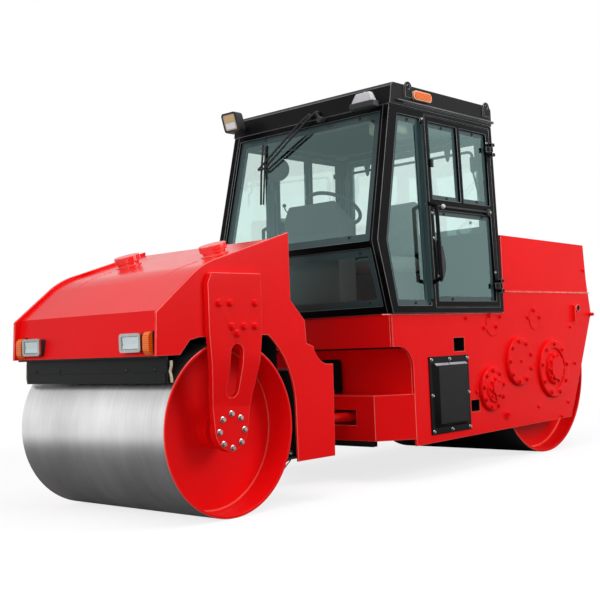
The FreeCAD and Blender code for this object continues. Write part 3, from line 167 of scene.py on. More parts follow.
def enamel(name, colour, deep, rough, gloss, coat=0.0, grain=0.1, dust=0.0):
    """Sprayed enamel: a slight change of shade, orange peel, and dust that thins out with height."""
    paint, skin, tree = new_finish(name)
    where = added(tree, "TexCoord").outputs["Object"]
    shade = added(tree, "TexNoise", {"Vector": where, "Scale": 1.6, "Detail": 4})
    spread = added(tree, "MapRange", {"Value": shade, "From Min": 0.3, "From Max": 0.6})
    shades = added(tree, "Mix", {"Factor": spread, "A": (*deep, 1), "B": (*colour, 1)}, data_type="RGBA")
    film = added(tree, "TexNoise", {"Vector": where, "Scale": 9, "Detail": 6})
    height = added(tree, "SeparateXYZ", {0: where}).outputs["Z"]
    low = added(tree, "MapRange", {"Value": height, "From Min": 0.05, "From Max": 0.8,
                                   "To Min": dust, "To Max": dust * 0.1})
    settle = added(tree, "Math", {0: low, 1: film}, operation="MULTIPLY")
    dusty = added(tree, "Mix", {"Factor": settle, "A": shades, "B": (0.30, 0.23, 0.19, 1)}, data_type="RGBA")
    sheen = added(tree, "MapRange", {"Value": film, "To Min": rough - 0.05, "To Max": rough + 0.08})
    peel = added(tree, "TexNoise", {"Vector": where, "Scale": 150, "Detail": 2})
    relief = added(tree, "Bump", {"Height": peel, "Strength": grain, "Distance": 0.0006})
    fitted(skin, {"Base Color": dusty, "Roughness": sheen, "Normal": relief, "Specular IOR Level": gloss,
                  "Coat Weight": coat, "Coat Roughness": 0.1})
    return paint


def nothing_picked():
    """Leaves edit mode if it is on, and deselects everything."""
    if bpy.context.object and bpy.context.object.mode != "OBJECT":
        bpy.ops.object.mode_set(mode="OBJECT")
    bpy.ops.object.select_all(action="DESELECT")


def taken_up(piece):
    """Makes the piece the one that is worked on."""
    nothing_picked()
    piece.select_set(True)
    bpy.context.view_layer.objects.active = piece
    return piece


def opened(piece):
    """Opens the piece in edit mode with all of it selected."""
    taken_up(piece)
    bpy.ops.object.mode_set(mode="EDIT")
    bpy.ops.mesh.select_mode(type="VERT")
    bpy.ops.mesh.select_all(action="SELECT")


def closed(smooth=None):
    """Leaves edit mode; edges under the smooth angle, in degrees, are shaded smooth."""
    bpy.ops.object.mode_set(mode="OBJECT")
    if smooth:
        bpy.ops.object.shade_smooth_by_angle(angle=math.radians(smooth))


def traced(node, name):
    """A loose copy of a part of the frame, cleaned into whole faces, left in edit mode."""
    piece = bpy.data.objects.new(name, nodes[node].data.copy())
    bpy.context.scene.collection.objects.link(piece)
    opened(piece)
    bpy.ops.mesh.remove_doubles(threshold=0.00004)
    bpy.ops.mesh.dissolve_limited(angle_limit=math.radians(0.6))
    return piece


def dressed(piece, body, slot, *finishes):
    """Puts a finished piece at the origin, gives it its paint and hangs it on its body."""
    taken_up(piece)
    bpy.ops.object.transform_apply(location=True, rotation=True, scale=True)
    if finishes:
        kept = [face.material_index for face in piece.data.polygons]
        piece.data.materials.clear()
        for finish in finishes:
            piece.data.materials.append(finish)
        for face, index in zip(piece.data.polygons, kept):
            face.material_index = min(index, len(finishes) - 1)
    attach(piece, body)
    return piece


def eased(node, body, slot, finish, width=0.003, steps=2, highlight=None):
    """A plate or casting of the frame with its sharp edges ground round, and a paler paint on the rounds, when
    one is given, as painted highlight.
    """
    piece = traced(node, node + "_eased")
    bpy.ops.mesh.quads_convert_to_tris(quad_method="BEAUTY", ngon_method="BEAUTY")
    closed()
    piece.data.materials.clear()
    piece.data.materials.append(finish)
    if highlight:
        piece.data.materials.append(highlight)
    edge = piece.modifiers.new("ground_edges", "BEVEL")
    edge.width, edge.segments, edge.limit_method = width, steps, "ANGLE"
    edge.angle_limit, edge.use_clamp_overlap, edge.miter_outer = math.radians(32), False, "MITER_ARC"
    edge.material = 1 if highlight else -1
    bpy.ops.object.modifier_apply(modifier=edge.name)
    bpy.ops.object.shade_smooth_by_angle(angle=math.radians(50))
    flat = piece.modifiers.new("flat_faces", "WEIGHTED_NORMAL")
    flat.keep_sharp = True
    bpy.ops.object.modifier_apply(modifier=flat.name)
    dressed(piece, body, slot)
    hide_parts(node)
    return piece


red_enamel = enamel("red_enamel", (0.87, 0.0055, 0.0070), (0.82, 0.0045, 0.0055), 0.30, 0.08, 0.0, 0.05)
# A paler, glossier red for ground edges and beads: painted highlight, for the light that edges catch.
edge_highlight_red = enamel("edge_highlight_red", (0.90, 0.15, 0.11), (0.86, 0.06, 0.05), 0.26, 0.4, 0.2, 0.05)
# Near-black paint for faces and sheets that sit in shade under and inside the machine: painted shade.
shade_black = enamel("painted_shade_black", (0.008, 0.008, 0.008), (0.005, 0.005, 0.005), 0.8, 0.1, 0.0, 0.5)


def coated(piece, finish, test):
    """Gives the faces that pass the test another finish."""
    piece.data.materials.append(finish)
    for face in piece.data.polygons:
        if test(face):
            face.material_index = len(piece.data.materials) - 1


for plate in ("front_side_plate_left", "front_side_plate_right", "yoke_arm_left", "yoke_arm_right"):
    eased(plate, "front_frame", "red_paint", red_enamel, highlight=edge_highlight_red)
beam = eased("front_cross_beam", "front_frame", "red_paint", red_enamel, highlight=edge_highlight_red)
# The cross beam's front, top and bottom faces are painted black as painted shade.
coated(beam, shade_black, lambda face: face.normal.y < -0.3 or abs(face.normal.z) > 0.9)

# ------------------------------------------------------------ water tank
# The sprinkler tank is folded sheet with a rounded shoulder, two filler necks
# with screwed lids, and a weld run forward from each neck.

tank_red = enamel("tank_red", (0.85, 0.007, 0.009), (0.80, 0.005, 0.007), 0.22, 0.62, 0.0, 0.05)
tank = eased("water_tank", "front_frame", "red_paint", tank_red, 0.006, 3, edge_highlight_red)
# The tank's front faces take a slightly darker, less glossy copy of the red, so they show less reflection:
# painted shade.
coated(tank, enamel("shaded_nose_red", (0.84, 0.007, 0.009), (0.79, 0.005, 0.007), 0.34, 0.10, 0.0, 0.05),
       lambda face: face.normal.y < -0.8)
# The tank's rear faces, toward the cab, are painted black as painted shade.
coated(tank, shade_black, lambda face: face.normal.y > 0.6)
eased("filler_caps", "front_frame", "red_paint", tank_red, 0.005, 3, edge_highlight_red)


def kept_on(piece, test):
    """Deletes the corners of the piece, open in edit mode, that the test doesn't keep."""
    bpy.ops.mesh.select_all(action="DESELECT")
    mesh = bmesh.from_edit_mesh(piece.data)
    for corner in mesh.verts:
        corner.select_set(not test(corner.co))
    bmesh.update_edit_mesh(piece.data)
    bpy.ops.mesh.delete(type="VERT")


def thickened(piece, radius, sides=2):
    """Turns a chain of edges into a round bead or bar."""
    taken_up(piece)
    bpy.ops.object.convert(target="CURVE")
    line = bpy.context.object
    line.data.bevel_depth, line.data.bevel_resolution, line.data.use_fill_caps = radius, sides, True
    bpy.ops.object.convert(target="MESH")
    bpy.ops.object.shade_smooth_by_angle(angle=math.radians(40))
    return bpy.context.object


cap_x, weld_front, weld_rear = 0.417, -2.14, -1.84
for side, x in (("left", cap_x), ("right", -cap_x)):
    run = traced("water_tank", "tank_weld_" + side)
    bpy.ops.mesh.bisect(plane_co=(x, 0, 0), plane_no=(1, 0, 0), clear_inner=True, clear_outer=True)
    bpy.ops.mesh.subdivide(number_cuts=6)
    kept_on(run, lambda place: weld_front < place.y < weld_rear and place.z > 1.3)
    dressed(thickened(run, 0.0022, 1), "front_frame", "red_paint", tank_red)

# ----------------------------------------------------------------- drums
# Each drum is a rolled steel shell with a red dished end welded in at each
# side. The front shell is turned bright; the rear shell's steel is tinted near
# black as painted shade. The shells' end edges and the weld beads take a paler
# red as painted highlight.

def brushed_steel(name, tint, dull):
    """Turned steel: fine lines round the drum, broad faint bands, small scuffs."""
    steel, skin, tree = new_finish(name)
    where = added(tree, "TexCoord").outputs["Object"]
    lines = added(tree, "Mapping", {"Vector": where, "Scale": (300, 2, 2)})
    bands = added(tree, "Mapping", {"Vector": where, "Scale": (4, 1.5, 1.5)})
    fine = added(tree, "TexNoise", {"Vector": lines, "Scale": 1, "Detail": 2})
    broad = added(tree, "TexNoise", {"Vector": bands, "Scale": 1, "Detail": 4})
    mixed = added(tree, "Math", {0: fine, 1: 0.5, 2: broad}, operation="MULTIPLY_ADD")
    shade = added(tree, "MapRange", {"Value": mixed, "From Min": 0.5, "From Max": 1.0})
    tone = added(tree, "Mix", {"Factor": shade, "A": (*[part * 0.7 for part in tint], 1), "B": (*tint, 1)},
                 data_type="RGBA")
    rough = added(tree, "MapRange", {"Value": fine, "To Min": dull - 0.06, "To Max": dull + 0.1})
    relief = added(tree, "Bump", {"Height": fine, "Strength": 0.2, "Distance": 0.0003})
    fitted(skin, {"Base Color": tone, "Roughness": rough, "Normal": relief, "Metallic": 1.0})
    return steel


def drawn(name, points):
    """A chain of edges drawn from point to point, open in edit mode with all of it selected."""
    nothing_picked()
    bpy.ops.mesh.primitive_plane_add(size=1)
    piece = bpy.context.object
    piece.name = piece.data.name = name
    opened(piece)
    bpy.ops.mesh.merge(type="CENTER")
    bpy.ops.transform.translate(value=points[0])
    for start, end in zip(points, points[1:]):
        bpy.ops.mesh.extrude_region_move(TRANSFORM_OT_translate={"value": Vector(end) - Vector(start)})
    bpy.ops.mesh.select_all(action="SELECT")
    return piece


def spun(name, profile, centre, way, steps=40):
    """A turned piece: its profile of (radius, height) points spun about the line through centre."""
    piece = drawn(name, [(radius, 0, height) for radius, height in profile])
    bpy.ops.mesh.spin(steps=steps, angle=math.tau, center=(0, 0, 0), axis=(0, 0, 1))
    bpy.ops.mesh.select_all(action="SELECT")
    bpy.ops.mesh.remove_doubles(threshold=0.00005)
    bpy.ops.mesh.normals_make_consistent(inside=False)
    closed()
    turned = Vector(way).to_track_quat("Z", "X").to_matrix().to_4x4()
    piece.data.transform(Matrix.Translation(centre) @ turned)
    bpy.ops.object.shade_smooth_by_angle(angle=math.radians(40))
    return piece


def joined(name, pieces):
    """Several pieces made one."""
    nothing_picked()
    for piece in pieces:
        piece.select_set(True)
    bpy.context.view_layer.objects.active = pieces[0]
    if len(pieces) > 1:
        bpy.ops.object.join()
    piece = bpy.context.object
    piece.name = piece.data.name = name
    return piece


def drum(node, axle_y, radius, dish_x, bead_radius, steel):
    """The drum's own shape, its rolled face steel and all else red, with a paler red as painted highlight on the
    shell's end edges and the dish's weld bead.
    """
    piece = eased(node, node, "drum_steel", steel, 0.004, 3)
    piece.data.materials.append(red_enamel)
    piece.data.materials.append(edge_highlight_red)
    # The shell's side-facing faces at its outer edge take the paler red: painted highlight.
    for face in piece.data.polygons:
        rolled = math.hypot(face.center.y - axle_y, face.center.z - radius) > radius - 0.0035
        face.material_index = 1 if not rolled else 2 if abs(face.normal.x) > 0.12 else 0
    section = [(bead_radius + out, rise) for out, rise in ((-0.008, -0.001), (-0.005, 0.004), (0.005, 0.004),
                                                           (0.008, -0.001))]
    beads = [spun("bead", section, (way * dish_x, axle_y, radius), (way, 0, 0), 72) for way in (1, -1)]
    dressed(joined(node + "_weld_beads", beads), node, "red_paint", edge_highlight_red)


front_axle_y, front_radius = -1.900, 0.510
rear_axle_y, rear_radius = 1.716, 0.690
drum("front_drum", front_axle_y, front_radius, 0.5165, 0.478,
     brushed_steel("front_drum_steel", (0.93, 0.93, 0.94), 0.33))
# The rear drum's steel is tinted near black as painted shade, for the shade it sits in under the frame.
drum("rear_drum", rear_axle_y, rear_radius, 0.570, 0.652,
     brushed_steel("rear_drum_shaded_steel", (0.11, 0.11, 0.114), 0.45))

# ---------------------------------------------------------- hubs and bolts
# The arms carry flanged journals; every bolt is a hexagon head on its washer,
# tightened on the plate that it holds: zinc-plated on the hubs, painted red
# on the arms.

zinc = brushed_steel("zinc_plate", (0.55, 0.54, 0.52), 0.26)
dark_iron = enamel("dark_iron", (0.030, 0.031, 0.033), (0.020, 0.021, 0.022), 0.5, 0.3, 0.0, 0.4, 0.3)
eased("front_hubs", "front_frame", "red_paint", red_enamel)
eased("rear_axles", "rear_frame", "dark_metal", dark_iron)


def skin_of(*parts):
    """The surface of some parts of the frame, to seat small pieces on."""
    corners, sheets = [], []
    for part in parts:
        first = len(corners)
        corners += [corner.co.copy() for corner in nodes[part].data.vertices]
        sheets += [[first + i for i in face.vertices] for face in nodes[part].data.polygons]
    return BVHTree.FromPolygons(corners, sheets)


def pick(piece, test):
    """Opens the piece and selects the faces that pass the test."""
    opened(piece)
    bpy.ops.mesh.select_mode(type="FACE")
    bpy.ops.mesh.select_all(action="DESELECT")
    mesh = bmesh.from_edit_mesh(piece.data)
    for face in mesh.faces:
        face.select_set(test(face))
    bmesh.update_edit_mesh(piece.data)


def pattern_of(piece):
    """Keeps a fastener's mesh as the pattern for its copies, and takes the fastener away."""
    mesh = piece.data
    bpy.data.objects.remove(piece)
    return mesh


def hexagon_bolt(width):
    """One hexagon head with a chamfered top on a washer, head up."""
    nothing_picked()
    bpy.ops.mesh.primitive_cylinder_add(vertices=6, radius=width * 0.577, depth=width * 0.5,
                                        location=(0, 0, width * 0.34))
    head = bpy.context.object
    pick(head, lambda face: face.normal.z > 0.9)
    bpy.ops.mesh.extrude_region_move(TRANSFORM_OT_translate={"value": (0, 0, width * 0.09)})
    bpy.ops.transform.resize(value=(0.86, 0.86, 1), center_override=(0, 0, width * 0.68))
    closed()
    bpy.ops.object.transform_apply(location=True)
    washer = spun("washer", [(0, -width * 0.05), (width * 0.78, -width * 0.05), (width * 0.78, width * 0.07),
                             (width * 0.70, width * 0.11), (0, width * 0.11)], (0, 0, 0), (0, 0, 1), 14)
    return pattern_of(joined("bolt", [head, washer]))


def button_screw(width):
    """One low round head with a driver socket, head up."""
    shares = [(0, 0.12), (0.18, 0.12), (0.22, 0.34), (0.38, 0.26), (0.5, 0.05), (0.5, -0.05), (0, -0.05)]
    profile = [(width * out, width * rise) for out, rise in shares]
    return pattern_of(spun("screw", profile, (0, 0, 0), (0, 0, 1), 12))


def copied(mesh, turned):
    """One copy of a mesh, turned and placed by the matrix."""
    copy = bpy.data.objects.new("copy", mesh.copy())
    bpy.context.scene.collection.objects.link(copy)
    copy.data.transform(turned)
    return copy


def seated(name, pattern, skin, starts, way, body, slot, finish):
    """Copies of one fastener, each sitting where a line from its start along way meets the skin."""
    copies = []
    for start in starts:
        place, facing, _, _ = skin.ray_cast(Vector(start), Vector(way))
        if place is None:
            continue
        if facing.dot(Vector(way)) > 0:
            facing = -facing
        copies.append(copied(pattern, Matrix.Translation(place)
                             @ facing.to_track_quat("Z", "X").to_matrix().to_4x4()))
    return dressed(joined(name, copies), body, slot, finish)


def ring(centre_y, centre_z, radius, count, turn=0.0):
    """The (y, z) places of a ring of bolts."""
    return [(centre_y + radius * math.cos(turn + math.tau * i / count),
             centre_z + radius * math.sin(turn + math.tau * i / count)) for i in range(count)]


outside_x = 1.2
arm_bolt, hub_bolt = hexagon_bolt(0.031), hexagon_bolt(0.024)
arm_skin = skin_of("yoke_arm_left", "yoke_arm_right")
for side, sign in (("left", 1), ("right", -1)):
    arm_spots = [(-2.008, 1.235), (-1.920, 1.235), (-1.718, 1.235),
                 (-1.912, 1.100), (-1.815, 1.100), (-1.725, 1.100), (-1.871, 1.059)]
    seated("arm_bolts_" + side, arm_bolt, arm_skin, [(sign * outside_x, y, z) for y, z in arm_spots],
           (-sign, 0, 0), "front_frame", "red_paint", red_enamel)
    seated("hub_bolts_" + side, hub_bolt, arm_skin,
           [(sign * outside_x, y, z) for y, z in ring(front_axle_y, front_radius - 0.010, 0.099, 8)],
           (-sign, 0, 0), "front_frame", "rod_chrome", zinc)

# ----------------------------------------------------- guard and scrapers
# A folded dark guard board hangs under the nose, bolted to the tank, and
# carries the blade that keeps the drum clean.

guard_black = enamel("guard_black", (0.0110, 0.0115, 0.012), (0.007, 0.0075, 0.008), 0.36, 0.12,
                     grain=0.2, dust=0.01)
board = eased("drum_scrapers", "front_frame", "black_paint", guard_black, 0.002)
for corner in board.data.vertices:
    if corner.co.y < -2.3 and corner.co.z < 0.790:
        corner.co.z += 0.024


def pick_edges(piece, test):
    """Opens the piece and selects the edges that pass the test."""
    opened(piece)
    bpy.ops.mesh.select_mode(type="EDGE")
    bpy.ops.mesh.select_all(action="DESELECT")
    mesh = bmesh.from_edit_mesh(piece.data)
    for edge in mesh.edges:
        edge.select_set(test(edge))
    bmesh.update_edit_mesh(piece.data)


def cube(name, centre, size):
    """A plain block at its place and size, open in edit mode with all of it selected."""
    nothing_picked()
    bpy.ops.mesh.primitive_cube_add(size=1, location=centre, scale=size)
    piece = bpy.context.object
    piece.name = name
    bpy.ops.object.transform_apply(location=True, rotation=True, scale=True)
    opened(piece)
    return piece


def block(name, centre, size, ease, steps=3, along=None):
    """A block with its edges rounded, all of them or only those along one axis."""
    piece = cube(name, centre, size)
    if along is not None:
        pick_edges(piece, lambda edge: abs((edge.verts[0].co - edge.verts[1].co).normalized()[along]) > 0.99)
    bpy.ops.mesh.bevel(offset=ease, segments=steps, affect="EDGES")
    closed(35)
    return piece


blade = cube("guard_blade", (0, -2.3675, 0.829), (1.345, 0.005, 0.058))
bpy.ops.mesh.bevel(offset=0.0015, segments=2, affect="EDGES")
closed()
dressed(blade, "front_frame", "black_paint", guard_black)
guard_screw = button_screw(0.024)
guard_spots = [(x, -3, 0.876) for x in (-0.580, -0.330, 0.330, 0.580)]
seated("guard_bolts", guard_screw, skin_of("drum_scrapers"), guard_spots, (0, 1, 0),
       "front_frame", "black_paint", dark_iron)
cream = enamel("cream_rubber", (0.62, 0.54, 0.38), (0.42, 0.36, 0.26), 0.6, 0.3)
tab_foot, tab_high, tab_wave = 0.804, 0.120, 0.004
for side, sign in (("left", 1), ("right", -1)):
    tab = cube("wiper_end_" + side, (sign * 0.699, -2.350, tab_foot + tab_high / 2), (0.009, 0.012, tab_high))
    bpy.ops.mesh.subdivide(number_cuts=3)
    closed()
    for corner in tab.data.vertices:
        rise = (corner.co.z - tab_foot) / tab_high
        corner.co.x += sign * tab_wave * math.sin(rise * 9)
        corner.co.y += tab_wave * math.cos(rise * 7)
    dressed(tab, "front_frame", "black_plastic", cream)

clamps = []
clamp_bolt = [(0, 0.030), (0.012, 0.030), (0.013, 0.020), (0.022, 0.018), (0.022, 0.006), (0.012, 0.004),
              (0.012, -0.030), (0, -0.030)]
for sign in (1, -1):
    clamps += [spun("bolt", clamp_bolt, (sign * 0.640, -1.372, 0.306), (0.6 * sign, 0, 0.8), 20),
               spun("stay", [(0, 0.040), (0.015, 0.040), (0.015, -0.040), (0, -0.040)],
                    (sign * 0.640, -1.410, 0.255), (0, 0.8, 0.6), 20)]
dressed(joined("scraper_clamps", clamps), "front_frame", "rod_chrome", zinc)

# ------------------------------------------------------------ drum shade sheets
# Black sheets stand in for the shade over the drum: one under the tank spans
# the drum from plate to plate, and a second one hangs behind the drum.

for name, y, z, deep, tall in (("drum_shade_sheet", -1.880, 1.090, 0.860, 0.112),
                               ("drum_rear_shade_sheet", -1.452, 0.985, 0.010, 0.300)):
    dressed(block(name, (0, y, z), (1.276, deep, tall), 0.003, 2), "front_frame", "black_paint", shade_black)

# ------------------------------------------------------------ front lamps
# Each headlamp is a moulded black body with a bright rim, a pressed bright
# reflector and a fluted glass; an amber lens wraps the corner beside it.

chrome = brushed_steel("hard_chrome", (0.82, 0.83, 0.85), 0.14)
black_plastic = enamel("black_plastic", (0.024, 0.025, 0.026), (0.018, 0.018, 0.020), 0.5, 0.3, 0.0, 0.3)


def glass_sheet(name, light, dark, mirror_share, flutes=0.0, blur=0.03):
    """Clear or tinted glass: lets light through, mirrors on its outer face, with a faint film on it."""
    pane, _, tree = new_finish(name)
    tree.nodes.clear()
    where = added(tree, "TexCoord").outputs["Object"]
    haze = added(tree, "TexNoise", {"Vector": where, "Scale": 2.5, "Detail": 5})
    tint = added(tree, "Mix", {"Factor": haze, "A": (*light, 1), "B": (*dark, 1)}, data_type="RGBA")
    clear = added(tree, "BsdfTransparent", {"Color": tint})
    mirror = added(tree, "BsdfGlossy", {"Color": (0.66, 1.0, 0.98, 1), "Roughness": blur})
    film = added(tree, "Math", {0: added(tree, "Fresnel", {"IOR": 1.4}), 1: mirror_share}, operation="ADD")
    inner = added(tree, "NewGeometry").outputs["Backfacing"]
    outer = added(tree, "Math", {0: 1, 1: inner}, operation="SUBTRACT")
    share = added(tree, "Math", {0: film, 1: outer}, operation="MULTIPLY")
    added(tree, "OutputMaterial", {0: added(tree, "MixShader", {0: share, 1: clear, 2: mirror})})
    if flutes:
        wave = added(tree, "TexWave", {"Vector": where, "Scale": flutes}).outputs["Fac"]
        fitted(mirror, {"Normal": added(tree, "Bump", {"Height": wave, "Strength": 0.6, "Distance": 0.002})})
    return pane


def prism(name, profile, start, end):
    """A solid with the same (y, z) profile from start to end across the machine."""
    piece = drawn(name, [(start, y, z) for y, z in profile])
    bpy.ops.mesh.edge_face_add()
    bpy.ops.mesh.extrude_region_move(TRANSFORM_OT_translate={"value": (end - start, 0, 0)})
    bpy.ops.mesh.select_all(action="SELECT")
    bpy.ops.mesh.normals_make_consistent(inside=False)
    closed()
    return piece


def lamp_rim(name, centre, size, corner, wide):
    """A flat ring with rounded corners that faces forward."""
    ring_piece = block(name, centre, size, corner, 4, 1)
    pick(ring_piece, lambda face: abs(face.normal.y) > 0.9)
    bpy.ops.mesh.inset(thickness=wide)
    bpy.ops.mesh.delete(type="FACE")
    pick_edges(ring_piece, lambda edge: edge.is_boundary)
    bpy.ops.mesh.bridge_edge_loops()
    bpy.ops.mesh.select_all(action="SELECT")
    bpy.ops.mesh.normals_make_consistent(inside=False)
    closed()
    return ring_piece


lamp_glass = glass_sheet("fluted_lamp_glass", (0.97, 0.98, 0.98), (0.92, 0.94, 0.94), 0.10, 90)
reflector = enamel("bright_reflector", (0.93, 0.93, 0.95), (0.84, 0.83, 0.86), 0.16, 0.8, 0.4)
lamp_low, lamp_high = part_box("headlamps")
wide, high = 0.186, lamp_high.z - lamp_low.z
bodies, rims, mirrors, glasses = [], [], [], []
for sign in (1, -1):
    x, y, z = sign * 0.485, (lamp_low.y + lamp_high.y) / 2, (lamp_low.z + lamp_high.z) / 2
    body_size = (wide - 0.006, lamp_high.y - lamp_low.y - 0.014, high - 0.006)
    bodies.append(block("body", (x, y + 0.010, z), body_size, 0.016, 4, 1))
    rims.append(lamp_rim("rim", (x, lamp_low.y + 0.008, z), (wide, 0.014, high), 0.019, 0.017))
    deep, half_wide, half = lamp_low.y + 0.012, wide / 2 - 0.020, high / 2
    folds = [(deep - 0.006, z - half + 0.020), (deep + 0.001, z - 0.006), (deep - 0.004, z + half - 0.020),
             (deep + 0.012, z + half - 0.016), (deep + 0.012, z - half + 0.016)]
    mirrors.append(prism("mirror", folds, x - half_wide, x + half_wide))
    glass_size = (wide - 0.030, 0.004, high - 0.030)
    glasses.append(block("glass", (x, lamp_low.y + 0.0035, z), glass_size, 0.008, 3, 1))
lamp_bodies = dressed(joined("headlamp_bodies", bodies), "front_frame", "black_plastic", black_plastic)
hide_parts("headlamps")
dressed(joined("headlamp_rims", rims), "front_frame", "rod_chrome", zinc)
dressed(joined("headlamp_mirrors", mirrors), "front_frame", "clear_lens", reflector)
dressed(joined("headlamp_glasses", glasses), "front_frame", "clear_lens", lamp_glass)


def amber_plastic(name, deep, bright):
    """Amber lens plastic with prism ribs moulded behind a smooth face."""
    lens, skin, tree = new_finish(name)
    where = added(tree, "TexCoord").outputs["Object"]
    waves = added(tree, "TexWave", {"Vector": where, "Scale": 28, "Distortion": 0}, bands_direction="Z")
    ribs = waves.outputs["Fac"]
    glow = added(tree, "Mix", {"Factor": ribs, "A": (*deep, 1), "B": (*bright, 1)}, data_type="RGBA")
    relief = added(tree, "Bump", {"Height": ribs, "Strength": 0.35, "Distance": 0.002})
    fitted(skin, {"Base Color": glow, "Normal": relief, "Roughness": 0.12, "Coat Weight": 0.25,
                  "Specular IOR Level": 0.35})
    return lens


amber = amber_plastic("amber_lens", (0.70, 0.09, 0.0015), (1.0, 0.19, 0.002))
signal_low, signal_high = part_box("front_signals")
signals, backs = [], []
_, deep, tall = signal_high - signal_low
_, middle_y, middle_z = (signal_low + signal_high) / 2
for sign in (1, -1):
    middle = Vector((sign * 0.622, middle_y + 0.006, middle_z))
    signals.append(block("lens", middle, (0.052, deep + 0.008, tall - 0.004), 0.040, 9, 0))
    backs.append(block("back", middle + Vector((0, 0.014, 0)), (0.058, deep - 0.022, tall), 0.018, 4, 0))
lens = dressed(joined("front_signal_lenses", signals), "front_frame", "amber_lens", amber)
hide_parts("front_signals")
dressed(joined("front_signal_backs", backs), "front_frame", "black_plastic", black_plastic)

# ------------------------------------------------------ steering cylinders
# Two cylinders turn the front frame, one on each side: a painted barrel, and a
# hard chrome rod that slides in it.

for side in ("left", "right"):
    eased("steering_barrel_" + side, "steering_barrel_" + side, "red_paint", red_enamel, 0.002)
    eased("steering_rod_" + side, "steering_rod_" + side, "rod_chrome", chrome, 0.0015)

# ------------------------------------------------------ rear frame plates
# The rear frame is the same red plate: side plates, fork, deck and beams, and
# the hood over the rear tank on its two hinges.

for plate in ("rear_side_plate_left", "rear_side_plate_right", "steering_fork", "cross_members",
              "lashing_tubes"):
    eased(plate, "rear_frame", "red_paint", red_enamel, highlight=edge_highlight_red)
deck = eased("cab_deck", "rear_frame", "red_paint", red_enamel, highlight=edge_highlight_red)
# The deck's downward faces are painted black as painted shade.
coated(deck, shade_black, lambda face: face.normal.z < -0.9)
# A thin strip of paler red along the deck's top edge is a painted highlight.
for side, sign in (("left", 1), ("right", -1)):
    edge_strip = block("deck_highlight_strip_" + side, (sign * 0.7765, 0.180, 1.1555), (0.005, 1.480, 0.008), 0.0015, 2)
    dressed(edge_strip, "rear_frame", "red_paint", edge_highlight_red)
eased("rear_hood", "rear_hood", "red_paint", red_enamel, 0.006, 3, edge_highlight_red)
eased("engine_block", "rear_frame", "dark_metal", dark_iron, 0.012, 3)

side_x = 0.775
pin_profile = [(0, 0.040), (0.012, 0.040), (0.015, 0.036), (0.015, 0.006), (0.021, 0.004), (0.021, -0.002),
               (0, -0.002)]
pins = [spun("pin", pin_profile, (sign * side_x, 2.432, 1.135), (sign, 0, 0), 24) for sign in (1, -1)]
dressed(joined("rear_pins", pins), "rear_frame", "red_paint", red_enamel)

# A black sheet in the gap between the frames stands for the shade there: painted shade.
sheet = block("joint_shade_sheet", (-0.090, -0.240, 0.790), (0.440, 0.010, 0.420), 0.050, 5, 1)
dressed(sheet, "rear_frame", "black_paint", shade_black)
fork_low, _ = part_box("steering_fork")
# A black plate along the fork's lower front edge stands for the shade under it: painted shade.
belly = block("belly_shade_plate", (0, -0.4245, fork_low.z + 0.012), (1.130, 0.050, 0.042), 0.003, 2)
dressed(belly, "rear_frame", "black_paint", shade_black)
cock_profile = [(0, 0.034), (0.014, 0.032), (0.017, 0.024), (0.017, 0.012), (0.011, 0.008), (0.011, -0.004),
                (0, -0.004)]
for side, sign in (("left", 1), ("right", -1)):
    # A thin strip of paler red along the hood's lower edge is a painted highlight.
    edge_strip = block("hood_highlight_strip_" + side, (sign * 0.7780, 1.690, 1.3225), (0.006, 1.500, 0.009), 0.0015, 2)
    dressed(edge_strip, "rear_frame", "red_paint", edge_highlight_red)
    cock = [spun("cock", cock_profile, (sign * 0.776, 0.965, 0.368), (sign, 0, 0), 20),
            block("spout", (sign * 0.790, 0.953, 0.348), (0.016, 0.020, 0.036), 0.004)]
    dressed(joined("drain_cock_" + side, cock), "rear_frame", "red_paint", red_enamel)

# ---------------------------------------------------- drive train covers
# Cast and turned covers stand over the drive train, each on a ring of bolts,
# all sprayed with the plate that carries them.

eased("drive_covers", "rear_frame", "red_paint", red_enamel, 0.004, 3)
flank_skin = skin_of("rear_side_plate_left", "rear_side_plate_right", "drive_covers", "side_grilles",
                     "rear_hood", "lashing_tubes", "steering_fork")
cover_bolt, hub_nut, small_bolt = hexagon_bolt(0.028), hexagon_bolt(0.021), hexagon_bolt(0.023)
cover_spots = (ring(1.175, 0.772, 0.161, 9, 0.3) + ring(rear_axle_y, rear_radius, 0.204, 9, 0.15)
               + ring(0.757, 0.581, 0.140, 9, 0.2)
               + [(0.696, 1.046), (0.863, 1.052), (1.355, 1.118), (1.536, 1.116), (0.775, 1.140), (1.445, 1.175)])
hub_spots = ring(rear_axle_y, rear_radius, 0.110, 10) + ring(0.757, 0.581, 0.075, 8) + [(1.175, 0.772)]
small_spots = [(0.455, 1.122), (0.932, 1.128), (0.553, 0.570), (1.463, 0.392), (1.962, 0.394),
               (2.116, 0.717), (2.063, 1.030), (1.842, 0.285)]
for side, sign in (("left", 1), ("right", -1)):
    for name, pattern, spots in (("cover_bolts_", cover_bolt, cover_spots), ("hub_nuts_", hub_nut, hub_spots),
                                 ("side_bolts_", small_bolt, small_spots)):
        seated(name + side, pattern, flank_skin, [(sign * outside_x, y, z) for y, z in spots],
               (-sign, 0, 0), "rear_frame", "red_paint", red_enamel)
    seated("hood_bolt_" + side, small_bolt, flank_skin, [(sign * outside_x, 2.350, 1.521)],
           (-sign, 0, 0), "rear_hood", "red_paint", red_enamel)

# --------------------------------------------------------- side openings
# Behind the two small openings in each side plate sits a folded black tray
# with its rim against the plate; it stands for the shade inside: painted shade.

